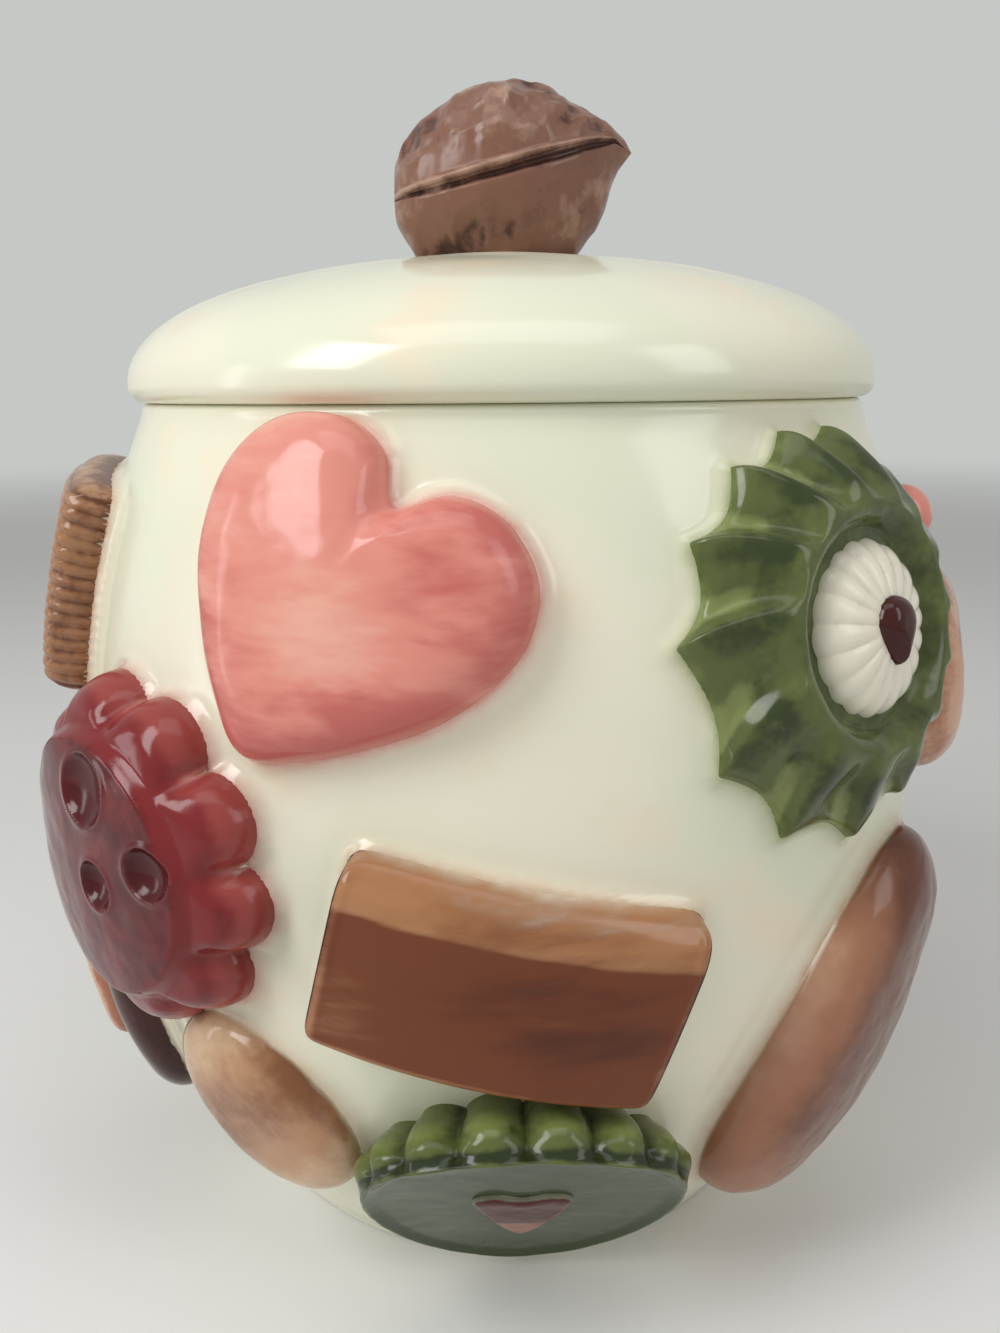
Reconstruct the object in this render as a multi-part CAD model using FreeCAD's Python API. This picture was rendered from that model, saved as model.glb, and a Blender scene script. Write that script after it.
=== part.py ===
import FreeCAD, Part
import math
import os

# Globe jar with a loose domed lid, biscuits in relief all round and a walnut as the knob.
# The origin is on the jar's axis in the plane of its foot. +Z is up, -Y is the front of the jar
# and +X is on the right of someone who looks at the front. All sizes are in millimetres.

os.makedirs("parts", exist_ok=True)
Vector = FreeCAD.Vector
jar_axis = Vector(0, 0, 1)

# Jar
body_radius = 96.0
neck_radius = 79.6
foot_radius = 63.0
seat_height = 181.0
belly_share = 0.583
upper_fullness = 2.05
lower_fullness = 2.22
wall = 6.0
floor_rise = 8.0
lip_rounding = 1.8
foot_ring_width = 6.0
foot_recess = 4.0
foot_rounding = 1.4

# Lid
lid_overhang = 3.25
lid_edge = 3.4
lid_rise = 30.4
lid_fullness = 2.165
lid_wall = 5.2
flange_clearance = 1.8
flange_width = 4.6
flange_depth = 12.0
flange_rounding = 1.5
pad_radius = 21.5
crown_flat = 0.45
pad_rounding = 0.25

# Walnut
nut_length = 46.0
nut_width = 37.0
nut_upper_rise = 20.2
nut_lower_drop = 22.5
nut_seam_height = 16.4
nut_tilt = 12.0
nut_beak_reach = 6.4
nut_beak_share = 0.30
nut_fullness = 2.6
nut_roundness = 0.46
nut_boxiness = 0.92
nut_ridge = 1.3
nut_ridge_place = 0.03
nut_ridge_width = 0.09
nut_groove = 0.9
nut_groove_place = -0.16
nut_groove_width = 0.08
nut_wrinkle = 0.75
nut_stations = 22
nut_columns = 60

# Where each relief sits: degrees round from the front towards +X, share of the seat height, and
# degrees of lean clockwise
heart_spot = (-17.2, 0.8315, 30.0)
wafer_spot = (0.0, 0.4696, 13.5)
wreath_spot = (40.6, 0.7779, 0.0)
flower_spot = (-45.6, 0.5442, 0.0)
finger_spot = (47.0, 0.3149, 28.0)
oval_spot = (-32.0, 0.2655, 140.0)
ridged_spot = (-77.0, 0.8011, 8.0)
chocolate_spot = (-73.0, 0.3204, -15.0)
round_spot = (77.6, 0.6740, 0.0)
drop_spot = (69.0, 0.8646, 0.0)
back_heart_spot = (140.0, 0.8066, -20.0)
back_wafer_spot = (178.0, 0.5083, -12.0)
back_ring_spot = (222.0, 0.7735, 0.0)
back_flower_spot = (118.0, 0.4309, 0.0)
back_oval_spot = (232.0, 0.3646, 40.0)

# How the reliefs are drawn
seat_depth = 1.0
root_margin = 2.0
middle_share = 0.02
settle_steps = 12
plain_columns = 64
pillow_shares = (1.0, 0.985, 0.94, 0.86, 0.74, 0.58, 0.38, 0.18, middle_share)

# Sizes that follow from those above
belly_height = belly_share * seat_height
mouth_radius = neck_radius - wall
lid_radius = neck_radius + lid_overhang
flange_radius = mouth_radius - flange_clearance
flange_inside = flange_radius - flange_width
lid_top = seat_height + lid_rise
pad_height = lid_top - crown_flat


def half_axis_for(rise, end_radius, fullness):
    """Half axis of an oval of the given fullness that has end_radius at the given rise."""
    return rise / (1 - (end_radius / body_radius) ** fullness) ** (1 / fullness)


upper_half_axis = half_axis_for(seat_height - belly_height, neck_radius, upper_fullness)
lower_half_axis = half_axis_for(belly_height, foot_radius, lower_fullness)


# The bare wall, as a rounded oval above the belly and another below it

def wall_oval(height):
    if height >= belly_height:
        return upper_half_axis, upper_fullness
    return lower_half_axis, lower_fullness


def wall_radius(height):
    half_axis, fullness = wall_oval(height)
    share = abs(height - belly_height) / half_axis
    return body_radius * (1 - share ** fullness) ** (1 / fullness)


def wall_excess(point):
    """Below nought inside the wall's outer face, nought on it and above nought outside."""
    half_axis, fullness = wall_oval(point.z)
    across = math.hypot(point.x, point.y) / body_radius
    along = abs(point.z - belly_height) / half_axis
    return across ** fullness + along ** fullness - 1


def wall_gradient(point):
    half_axis, fullness = wall_oval(point.z)
    distance = math.hypot(point.x, point.y)
    across = fullness / body_radius * (distance / body_radius) ** (fullness - 1)
    along = fullness / half_axis * (abs(point.z - belly_height) / half_axis) ** (fullness - 1)
    rise = math.copysign(along, point.z - belly_height)
    return Vector(across * point.x / distance, across * point.y / distance, rise)


def wall_normal(point):
    normal = wall_gradient(point)
    normal.normalize()
    return normal


def drop_to_wall(point, outward):
    """Move a point that is outside the wall straight inwards until it lies on the wall."""
    for step in range(settle_steps):
        slope = wall_gradient(point).dot(outward)
        point = point - outward * (wall_excess(point) / slope)
    return point


def revolved(edges):
    return Part.Face(Part.Wire(edges)).revolve(Vector(0, 0, 0), jar_axis, 360)


def line(start, end):
    return Part.makeLine(Vector(start[0], 0, start[1]), Vector(end[0], 0, end[1]))


def curve(points):
    spline = Part.BSplineCurve()
    spline.interpolate([Vector(radius, 0, height) for radius, height in points])
    return spline.toShape()


def wall_curve(inset, low, high, steps=16):
    """Points of the wall's section between two heights, moved inwards square to the wall."""
    points = []
    for step in range(steps + 1):
        height = low + (high - low) * step / steps
        point = Vector(wall_radius(height), 0, height)
        moved = point - wall_normal(point) * inset
        points.append((moved.x, moved.z))
    return points


def round_edges(solid, rounding, level, low_radius, high_radius):
    """Round the level circular edges at one height whose radius is in the given range."""
    chosen = []
    for edge in solid.Edges:
        box = edge.BoundBox
        is_level = abs(box.ZMin - level) < 0.01 and abs(box.ZMax - level) < 0.01
        if is_level and low_radius < box.XMax < high_radius:
            chosen.append(edge)
    return solid.makeFillet(rounding, chosen)


def jar_outside():
    """The jar as if it were filled, which the reliefs are seated on."""
    outer = wall_curve(0, 0, seat_height)
    low, high = outer[0], outer[-1]
    return revolved([line((0, low[1]), low), curve(outer), line(high, (0, high[1])),
                     line((0, high[1]), (0, low[1]))])


def jar_hollow():
    """The space inside the jar, from the floor up through the mouth."""
    inner = wall_curve(wall, floor_rise + wall, seat_height - 2 * wall)
    floor_radius = inner[0][0]
    inner.append((mouth_radius, seat_height - wall))
    above = seat_height + wall
    hollow = revolved([line((0, floor_rise), (floor_radius, floor_rise)),
                       line((floor_radius, floor_rise), inner[0]), curve(inner),
                       line(inner[-1], (mouth_radius, above)),
                       line((mouth_radius, above), (0, above)), line((0, above), (0, floor_rise))])
    return round_edges(hollow, wall, floor_rise, wall, body_radius)


def jar_body(outside):
    recess_radius = foot_radius - foot_ring_width
    recess = Part.makeCylinder(recess_radius, foot_recess)
    body = outside.cut(jar_hollow()).cut(recess)
    body = round_edges(body, lip_rounding, seat_height, 0, body_radius)
    body = round_edges(body, foot_rounding, 0, 0, body_radius)
    return body


# Lid

def lid_curve(radius, low, rise, steps=14):
    """A dome's section from its rim, at the given radius and height, up to the axis."""
    points = []
    for step in range(steps + 1):
        angle = math.pi / 2 * step / steps
        share = math.cos(angle) ** (2 / lid_fullness)
        height = low + rise * math.sin(angle) ** (2 / lid_fullness)
        points.append((radius * share, height))
    return points


def lid_shell():
    rim_height = seat_height + lid_edge
    outer = lid_curve(lid_radius, rim_height, lid_rise - lid_edge)
    thick_rim = 1.5 * lid_wall
    inner = lid_curve(flange_inside, seat_height + thick_rim, lid_rise - lid_wall - thick_rim)
    outer[-1] = (0, lid_top)
    inner[-1] = (0, lid_top - lid_wall)
    corner = lid_edge * math.sqrt(0.5)
    edge_centre = (lid_radius - lid_edge, rim_height)
    edge_middle = Vector(edge_centre[0] + corner, 0, edge_centre[1] - corner)
    edge_low = Vector(edge_centre[0], 0, seat_height)
    edge_high = Vector(lid_radius, 0, rim_height)
    edge_arc = Part.Arc(edge_low, edge_middle, edge_high).toShape()
    flange_low = seat_height - flange_depth
    shell = revolved([curve(outer), edge_arc, line((edge_low.x, seat_height), (flange_radius, seat_height)),
                      line((flange_radius, seat_height), (flange_radius, flange_low)),
                      line((flange_radius, flange_low), (flange_inside, flange_low)),
                      line((flange_inside, flange_low), inner[0]), curve(inner),
                      line(inner[-1], outer[-1])])
    shell = round_edges(shell, flange_rounding, flange_low, 0, lid_radius)
    crown = Part.makeCylinder(pad_radius, lid_wall, Vector(0, 0, pad_height))
    return shell.cut(crown).fuse(lid_pad()).removeSplitter()


def lid_pad():
    """Low round pad in the flattened crown that carries the knob."""
    pad_low = lid_top - lid_wall / 2
    pad = Part.makeCylinder(pad_radius, pad_height - pad_low, Vector(0, 0, pad_low))
    return round_edges(pad, pad_rounding, pad_height, 0, lid_radius)


# Free forms are smooth skins through rings of control points, closed by a flat cap at each end.

def skin(rings):
    ring_count = len(rings)
    columns = len(rings[0])
    surface = Part.BSplineSurface()
    along_knots = list(range(ring_count - 2))
    along_counts = [4] + [1] * (ring_count - 4) + [4]
    around_knots = list(range(columns + 1))
    around_counts = [1] * (columns + 1)
    surface.buildFromPolesMultsKnots(rings, along_counts, around_counts, along_knots, around_knots,
                                     False, True, 3, 3)
    side = surface.toShape()
    caps = []
    for end in (0, along_knots[-1]):
        rim = surface.uIso(end).toShape()
        caps.append(Part.Face(Part.Wire([rim])))
    shell = Part.makeShell([side] + caps)
    shell.sewShape()
    if Part.Solid(shell).Volume < 0:
        shell.reverse()
    return Part.Solid(shell)


# Outlines, as a point for each turn from 0 to 1 that runs anticlockwise from the right

def oval_outline(half_length, half_width, fullness=2.0):
    """Rounded oval with its length upright. Over 2, the fullness squares it off."""
    def point(turn):
        angle = 2 * math.pi * turn
        across = abs(math.cos(angle)) / half_width
        along = abs(math.sin(angle)) / half_length
        radius = (across ** fullness + along ** fullness) ** (-1 / fullness)
        return radius * math.cos(angle), radius * math.sin(angle)
    return point


def hand_outline(half_points):
    """Smooth closed outline through the right half's points, top to bottom, and their mirror."""
    left = [(-x, y) for x, y in reversed(half_points[1:-1])]
    points = list(reversed(half_points)) + list(reversed(left))

    def point(turn):
        place = turn % 1 * len(points)
        index = int(place)
        part = place - index
        a, b, c, d = [points[(index + shift) % len(points)] for shift in (-1, 0, 1, 2)]
        return tuple(0.5 * (2 * b[k] + (c[k] - a[k]) * part
                            + (2 * a[k] - 5 * b[k] + 4 * c[k] - d[k]) * part ** 2
                            + (3 * b[k] - a[k] - 3 * c[k] + d[k]) * part ** 3) for k in (0, 1))
    return point


def pillow(outline, thickness, softness):
    """A soft cushion over an outline: softness 2 is a dome, and more makes a flatter top."""
    def form(share, turn):
        x, y = outline(turn)
        rise = thickness * (1 - share ** softness) ** 0.5
        return x * share, y * share, rise
    return form


# Places on the wall

def place_on_wall(spot):
    """Frame of a relief on the wall: its origin and its right, up and outward directions."""
    azimuth, height_share, lean = spot
    angle = math.radians(azimuth)
    height = height_share * seat_height
    radius = wall_radius(height)
    origin = Vector(radius * math.sin(angle), -radius * math.cos(angle), height)
    outward = wall_normal(origin)
    level = Vector(math.cos(angle), math.sin(angle), 0)
    upright = outward.cross(level)
    turn = math.radians(lean)
    right = level * math.cos(turn) - upright * math.sin(turn)
    up = upright * math.cos(turn) + level * math.sin(turn)
    return origin, right, up, outward


def raised(place, x, y, rise):
    """Point at x to the right and y up in the relief's frame, and at a rise above the wall."""
    origin, right, up, outward = place
    point = drop_to_wall(origin + right * x + up * y, outward)
    return point + wall_normal(point) * rise


def mean_level(ring, place):
    """How far the ring's points are above the plane that touches the wall at the relief's middle."""
    origin, right, up, outward = place
    return sum((point - origin).dot(outward) for point in ring) / len(ring)


def levelled(ring, place, level):
    """The ring moved square to the relief into the plane at a level."""
    origin, right, up, outward = place
    return [point + outward * (level - (point - origin).dot(outward)) for point in ring]


def form_ring(place, form, share, columns):
    ring = []
    for column in range(columns):
        x, y, rise = form(share, column / columns)
        ring.append(raised(place, x, y, rise))
    return ring


def seated_ring(place, form, columns):
    """The form's outline, a little below the wall's face."""
    ring = []
    for column in range(columns):
        x, y, rise = form(1.0, column / columns)
        ring.append(raised(place, x, y, -seat_depth))
    return ring


def relief(place, form, outside, columns=plain_columns, shares=pillow_shares):
    """Solid of a relief that sits on the wall. The form gives x, y and rise for a share and turn."""
    origin, right, up, outward = place
    edge = seated_ring(place, form, columns)
    depth = root_margin + max((origin - point).dot(outward) for point in edge)
    rings = [levelled(edge, place, -depth), edge]
    for share in shares:
        rings.append(form_ring(place, form, share, columns))
    rings[-1] = levelled(rings[-1], place, mean_level(rings[-1], place))
    return skin(rings).cut(outside)


def flat_top(place, form, shares, columns=plain_columns):
    """Level of the flat that a relief ends in, which a topping sits on."""
    return mean_level(form_ring(place, form, shares[-1], columns), place)


def topping(place, level, form, columns=plain_columns, shares=pillow_shares):
    """Solid of a small relief that sits on the flat top of another one."""
    origin, right, up, outward = place
    rings = []
    for share in shares:
        ring = []
        for column in range(columns):
            x, y, rise = form(share, column / columns)
            ring.append(origin + right * x + up * y + outward * (level + rise))
        rings.append(ring)
    rings[0] = levelled(rings[0], place, level)
    rings[-1] = levelled(rings[-1], place, mean_level(rings[-1], place))
    return skin(rings)


# Heart: puffy, with a deep notch

heart_half_outline = ((0.0, 17.0), (6.8, 23.6), (16.4, 24.6), (26.0, 18.8), (29.8, 7.8), (26.4, -5.8),
                      (18.2, -17.4), (9.1, -26.5), (0.0, -31.8))
heart_thickness = 10.0
heart_softness = 3.2


def heart_form():
    return pillow(hand_outline(heart_half_outline), heart_thickness, heart_softness)


# Wafer: an oblong slab with a broad bevel

wafer_half_length = 30.8
wafer_half_width = 18.6
wafer_squareness = 9.0
wafer_thickness = 8.6
wafer_face_share = 0.80
wafer_edge_rise = 1.5
wafer_columns = 96
wafer_shares = (1.0, 0.995, 0.94, 0.87, wafer_face_share, 0.76, 0.6, 0.4, 0.2, middle_share)


def wafer_form():
    outline = oval_outline(wafer_half_width, wafer_half_length, wafer_squareness)

    def form(share, turn):
        x, y = outline(turn)
        climb = min(1.0, (1.0 - share) / (1.0 - wafer_face_share))
        rise = wafer_edge_rise + (wafer_thickness - wafer_edge_rise) * climb ** 0.7
        return x * share, y * share, rise
    return form


# Wreath biscuit: a ring with fourteen pointed, twisted flutes round a sunk middle

wreath_radius = 37.6
wreath_tips = 14
wreath_notch = 5.6
wreath_edge_rise = 4.6
wreath_crest_rise = 10.6
wreath_crest_share = 0.55
wreath_hollow_share = 0.42
wreath_hollow_rise = 6.4
wreath_flute = 1.5
wreath_twist = 0.6
wreath_climb_share = 0.78
wreath_climb_power = 1.5
wreath_unevenness = 0.22
wreath_lean_angle = 110.0
wreath_columns = 9 * wreath_tips
wreath_shares = (1.0, 0.99, 0.96, 0.90, 0.82, 0.73, 0.64, wreath_crest_share, 0.49, 0.44, wreath_hollow_share)


def wreath_phase(turn):
    """Place within a flute, from 0 at its root to 1 at its tip, going clockwise."""
    angle = 2 * math.pi * turn
    uneven = wreath_unevenness * math.sin(angle - math.radians(wreath_lean_angle))
    return -(angle + uneven) / (2 * math.pi) * wreath_tips


def flute_wave(phase):
    """Slow climb to a point followed by a quick drop."""
    place = phase % 1.0
    if place < wreath_climb_share:
        return (place / wreath_climb_share) ** wreath_climb_power
    return (1.0 - place) / (1.0 - wreath_climb_share)


def wreath_form():
    def form(share, turn):
        angle = 2 * math.pi * turn
        outer = max(0.0, (share - wreath_crest_share) / (1.0 - wreath_crest_share))
        wave = flute_wave(wreath_phase(turn) - wreath_twist * (1.0 - outer))
        radius = wreath_radius * share - wreath_notch * (1.0 - wave) * outer
        if share >= wreath_crest_share:
            slope = math.cos(math.pi / 2 * outer) ** 0.9
            rise = wreath_crest_rise * slope + wreath_edge_rise * outer * (1.0 - outer ** 8)
            rise += wreath_flute * (wave - 0.5) * math.sin(math.pi * outer ** 0.7)
        else:
            inner = max(0.0, (share - wreath_hollow_share) / (wreath_crest_share - wreath_hollow_share))
            blend = math.sin(math.pi / 2 * inner)
            rise = wreath_hollow_rise + (wreath_crest_rise - wreath_hollow_rise) * blend
        return radius * math.cos(angle), radius * math.sin(angle), rise
    return form


# Icing button: fluted dome in the wreath's middle, with a drop-shaped nut on it

button_gap = 0.5
button_radius = wreath_hollow_share * wreath_radius - button_gap
button_flutes = 18
button_flute_depth = 0.5
button_thickness = 6.4
button_softness = 2.6
button_columns = 6 * button_flutes
button_top_share = 0.44
button_shares = (1.0, 0.99, 0.95, 0.88, 0.78, 0.66, 0.55, button_top_share)
almond_half_outline = ((0.0, 5.6), (3.4, 4.4), (4.9, 0.8), (3.2, -3.4), (0.0, -6.6))
almond_thickness = 3.0
almond_softness = 2.4


def button_form():
    def form(share, turn):
        angle = 2 * math.pi * turn
        wave = abs(math.cos(angle * button_flutes / 2))
        radius = (button_radius - button_flute_depth * (1 - wave)) * share
        rise = button_thickness * (1 - share ** button_softness) ** 0.5
        fade = (share - button_top_share) / (1 - button_top_share)
        rise += button_flute_depth * (wave - 1) * math.sin(math.pi * fade)
        return radius * math.cos(angle), radius * math.sin(angle), rise
    return form


def almond_form():
    return pillow(hand_outline(almond_half_outline), almond_thickness, almond_softness)


# Flower biscuit: ten petals round a raised disc with three dents

flower_radius = 34.5
flower_petals = 10
flower_turn = -8.0
flower_notch = 5.0
petal_rise = 10.4
flower_disc_share = 0.70
flower_disc_rise = 13.8
flower_columns = 9 * flower_petals
flower_shares = (1.0, 0.985, 0.93, 0.85, 0.77, 0.725, flower_disc_share, 0.66, 0.55, 0.35, 0.15, middle_share)
flower_dents = ((-1.6, 13.7, 6.6), (15.9, 4.1, 4.6), (1.4, -1.9, 4.3))
dent_depth = 2.6


def flower_form(phase=0.0):
    def form(share, turn):
        angle = 2 * math.pi * turn
        lobe = abs(math.cos((angle - phase) * flower_petals / 2)) ** 0.6
        outer = max(0.0, (share - flower_disc_share) / (1.0 - flower_disc_share))
        radius = (flower_radius - flower_notch * (1 - lobe) * outer) * share
        if share > flower_disc_share:
            rise = petal_rise * (1 - outer ** 4) ** 0.5 * (0.72 + 0.28 * lobe)
        else:
            inner = share / flower_disc_share
            rise = flower_disc_rise - (flower_disc_rise - petal_rise) * 0.35 * inner ** 6
        return radius * math.cos(angle), radius * math.sin(angle), rise
    return form


def dented(solid, place, dents, surface_rise):
    """Press shallow round dents, each given as x, y and radius, into a relief's top."""
    for x, y, radius in dents:
        ball_radius = (radius ** 2 + dent_depth ** 2) / (2 * dent_depth)
        centre = raised(place, x, y, surface_rise - dent_depth + ball_radius)
        solid = solid.cut(Part.makeSphere(ball_radius, centre))
    return solid


# Jam tart: a fluted case that flares towards a flat dished face and leans into the wall

tart_radius = 31.6
tart_root_radius = 27.0
tart_depth = 11.0
tart_flutes = 20
tart_flute_depth = 1.7
tart_face_gap = 4.8
tart_azimuth = 1.6
tart_height_share = 0.170
tart_slope = 33.3
tart_dish_depth = 1.6
tart_rim = 2.2
dish_flat_share = 0.45
tart_columns = 6 * tart_flutes
tart_root = 32.0
cherry_half_outline = ((0.0, 4.2), (5.6, 5.6), (9.6, 3.0), (6.4, -3.6), (0.0, -8.4))
cherry_rise = 1.6


def tart_place():
    slope = math.radians(tart_slope)
    angle = math.radians(tart_azimuth)
    height = tart_height_share * seat_height
    reach = wall_radius(height) + tart_face_gap
    front = Vector(math.sin(angle), -math.cos(angle), 0)
    right = Vector(math.cos(angle), math.sin(angle), 0)
    origin = front * reach + jar_axis * height
    outward = front * math.cos(slope) - jar_axis * math.sin(slope)
    return origin, right, outward.cross(right), outward


def tart_ring(radius, level, flute, columns=tart_columns):
    origin, right, up, outward = tart_place()
    ring = []
    for column in range(columns):
        angle = 2 * math.pi * column / columns
        wave = abs(math.sin(angle * tart_flutes / 2))
        reach = radius - flute * (1 - wave)
        ring.append(origin + right * reach * math.cos(angle) + up * reach * math.sin(angle) + outward * level)
    return ring


def jam_tart_case(outside):
    dish_radius = tart_radius - tart_rim
    belly = tart_root_radius + 0.35 * (tart_radius - tart_root_radius)
    rings = [tart_ring(tart_root_radius, -tart_root, tart_flute_depth),
             tart_ring(tart_root_radius, -tart_depth - wall, tart_flute_depth),
             tart_ring(tart_root_radius, -tart_depth, tart_flute_depth),
             tart_ring(belly, -0.75 * tart_depth, tart_flute_depth),
             tart_ring(tart_radius - 0.6, -0.35 * tart_depth, tart_flute_depth),
             tart_ring(tart_radius, -0.12 * tart_depth, 0.6 * tart_flute_depth),
             tart_ring(tart_radius - 0.4, 0, 0.4 * tart_flute_depth),
             tart_ring(tart_radius - 1.4, 0, 0.2 * tart_flute_depth),
             tart_ring(dish_radius, -0.45 * tart_dish_depth, 0),
             tart_ring(0.85 * dish_radius, -0.85 * tart_dish_depth, 0),
             tart_ring(0.65 * dish_radius, -tart_dish_depth, 0),
             tart_ring(dish_flat_share * dish_radius, -tart_dish_depth, 0)]
    return skin(rings).cut(outside)


def cherry_form():
    return pillow(hand_outline(cherry_half_outline), cherry_rise, plain_softness)


# Plain biscuits

finger_half_length = 42.0
finger_half_width = 25.0
finger_fullness = 2.3
finger_thickness = 11.0
oval_half_length = 22.4
oval_half_width = 18.6
oval_thickness = 7.0
chocolate_half_length = 30.0
chocolate_half_width = 21.0
chocolate_thickness = 10.0
chocolate_shares = (1.0, 0.985, 0.94, 0.87, 0.78, 0.68, 0.60)
crescent_half_length = 16.0
crescent_half_width = 6.5
crescent_thickness = 3.4
round_radius = 24.0
round_thickness = 11.0
drop_radius = 6.6
drop_thickness = 7.0
plain_softness = 3.0


def finger_form():
    return pillow(oval_outline(finger_half_length, finger_half_width, finger_fullness), finger_thickness,
                  plain_softness)


def oval_form():
    return pillow(oval_outline(oval_half_length, oval_half_width), oval_thickness, plain_softness)


def chocolate_form():
    outline = oval_outline(chocolate_half_length, chocolate_half_width, finger_fullness)
    return pillow(outline, chocolate_thickness, plain_softness)


def crescent_form():
    return pillow(oval_outline(crescent_half_length, crescent_half_width), crescent_thickness, plain_softness)


def round_form():
    return pillow(oval_outline(round_radius, round_radius), round_thickness, plain_softness)


def drop_form():
    return pillow(oval_outline(drop_radius, drop_radius), drop_thickness, 2.0)


# Ridged biscuit: an oblong slab with ridges across it

ridged_half_length = 25.5
ridged_half_width = 22.0
ridged_squareness = 7.0
ridged_thickness = 10.6
ridge_count = 7
ridge_rise = 1.1
ridged_columns = 120
ridged_shares = (1.0, 0.99, 0.95, 0.88, 0.8, 0.72, 0.64, 0.56, 0.48, 0.4, 0.32, 0.24, 0.16, 0.08, middle_share)


def ridged_form():
    outline = oval_outline(ridged_half_length, ridged_half_width, ridged_squareness)

    def form(share, turn):
        x, y = outline(turn)
        x, y = x * share, y * share
        ridge = math.cos(math.pi * ridge_count * y / ridged_half_length)
        rise = ridged_thickness * (1 - share ** 6) ** 0.5 + ridge_rise * ridge * (1 - share ** 8)
        return x, y, rise
    return form


# Ring biscuit of the back, with its own button

ring_radius = 31.0
ring_crest_share = 0.68
ring_crest_rise = 10.2
ring_hollow_rise = 6.0
ring_hollow_share = (button_radius + button_gap) / ring_radius
ring_shares = (1.0, 0.98, 0.92, 0.84, 0.76, ring_crest_share, 0.61, 0.55, ring_hollow_share)


def ring_form():
    def form(share, turn):
        angle = 2 * math.pi * turn
        radius = ring_radius * share
        if share > ring_crest_share:
            outer = (share - ring_crest_share) / (1 - ring_crest_share)
            rise = ring_crest_rise * (1 - outer ** 2.4) ** 0.5
        else:
            inner = (ring_crest_share - share) / (ring_crest_share - ring_hollow_share)
            rise = ring_crest_rise - (ring_crest_rise - ring_hollow_rise) * math.sin(math.pi / 2 * inner)
        return radius * math.cos(angle), radius * math.sin(angle), rise
    return form


# Walnut knob: a pointed nut lying on its side, split along its seam

def nut_share(x):
    """Half thickness of the nut at x along it, as a share of the greatest."""
    half = nut_length / 2
    body = max(0.0, 1 - abs(x / half) ** nut_fullness) ** nut_roundness
    beak_start = 0.35 * half
    reach = half + nut_beak_reach
    beak = nut_beak_share * max(0.0, (reach - x) / (reach - beak_start)) if x > beak_start else 0.0
    return (body ** 3 + beak ** 3) ** (1 / 3)


def nut_relief(x, angle):
    """Ridge and groove of the seam and the wrinkles between, as a rise above the plain nut."""
    seam = math.sin(angle)
    ridge = nut_ridge * math.exp(-((seam - nut_ridge_place) / nut_ridge_width) ** 2)
    groove = -nut_groove * math.exp(-((seam - nut_groove_place) / nut_groove_width) ** 2)
    bend = math.sin(0.23 * x + 0.8) + 0.4 * math.sin(0.41 * x + 2.1)
    lobes = math.sin(4 * angle + 1.6 * bend) * math.cos(0.28 * x - 0.6)
    creases = -abs(math.sin(3 * angle + 1.1 * bend + 0.19 * x)) ** 0.5
    return ridge + groove + nut_wrinkle * (lobes + 1.1 * creases + 0.8) * min(1.0, 2 * abs(seam))


def nut_frame():
    tilt = math.radians(nut_tilt)
    origin = Vector(0, 0, pad_height + nut_seam_height)
    along = Vector(math.cos(tilt), 0, math.sin(tilt))
    across = Vector(0, 1, 0)
    return origin, along, across, along.cross(across)


def walnut():
    origin, along, across, up = nut_frame()
    low = -nut_length / 2
    high = nut_length / 2 + nut_beak_reach
    rings = []
    for station in range(nut_stations):
        swing = math.pi * station / (nut_stations - 1)
        x = (low + high) / 2 - (high - low) / 2 * math.cos(swing)
        share = max(middle_share, nut_share(x))
        at_end = station in (0, nut_stations - 1)
        ring = []
        for column in range(nut_columns):
            angle = 2 * math.pi * column / nut_columns
            side = math.copysign(abs(math.cos(angle)) ** nut_boxiness, math.cos(angle))
            rise = math.copysign(abs(math.sin(angle)) ** nut_boxiness, math.sin(angle))
            height = nut_upper_rise if rise > 0 else nut_lower_drop
            extra = 0.0 if at_end else nut_relief(x, angle) * min(1.0, 1.5 * share)
            y = side * (nut_width / 2 * share + extra)
            z = rise * (height * share + extra)
            ring.append(origin + along * x + across * y + up * z)
        rings.append(ring)
    return skin(rings)


def walnut_halves():
    origin, along, across, up = nut_frame()
    size = 2 * nut_length
    above = Part.makeBox(size, size, size, Vector(-size / 2, -size / 2, 0))
    above.Placement = FreeCAD.Placement(origin, FreeCAD.Rotation(along, across, up))
    pad_side = Part.makeBox(size, size, size, Vector(-size / 2, -size / 2, pad_height - size))
    nut = walnut()
    return nut.common(above), nut.cut(above).cut(pad_side)


def save(solid, name):
    solid.exportStep("parts/" + name + ".step")
    print(name, len(solid.Solids), solid.isValid(), round(solid.Volume))


def save_front_reliefs(outside):
    save(relief(place_on_wall(heart_spot), heart_form(), outside), "heart_biscuit")
    wafer_place = place_on_wall(wafer_spot)
    save(relief(wafer_place, wafer_form(), outside, wafer_columns, wafer_shares), "wafer_biscuit")
    save(relief(place_on_wall(finger_spot), finger_form(), outside), "finger_biscuit")
    save(relief(place_on_wall(oval_spot), oval_form(), outside), "oval_biscuit")
    save(relief(place_on_wall(round_spot), round_form(), outside), "round_biscuit")
    save(relief(place_on_wall(drop_spot), drop_form(), outside), "sugar_drop")
    ridged_place = place_on_wall(ridged_spot)
    save(relief(ridged_place, ridged_form(), outside, ridged_columns, ridged_shares), "ridged_biscuit")
    place = place_on_wall(flower_spot)
    flower = relief(place, flower_form(math.radians(flower_turn)), outside, flower_columns, flower_shares)
    save(dented(flower, place, flower_dents, flower_disc_rise), "flower_biscuit")


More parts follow.
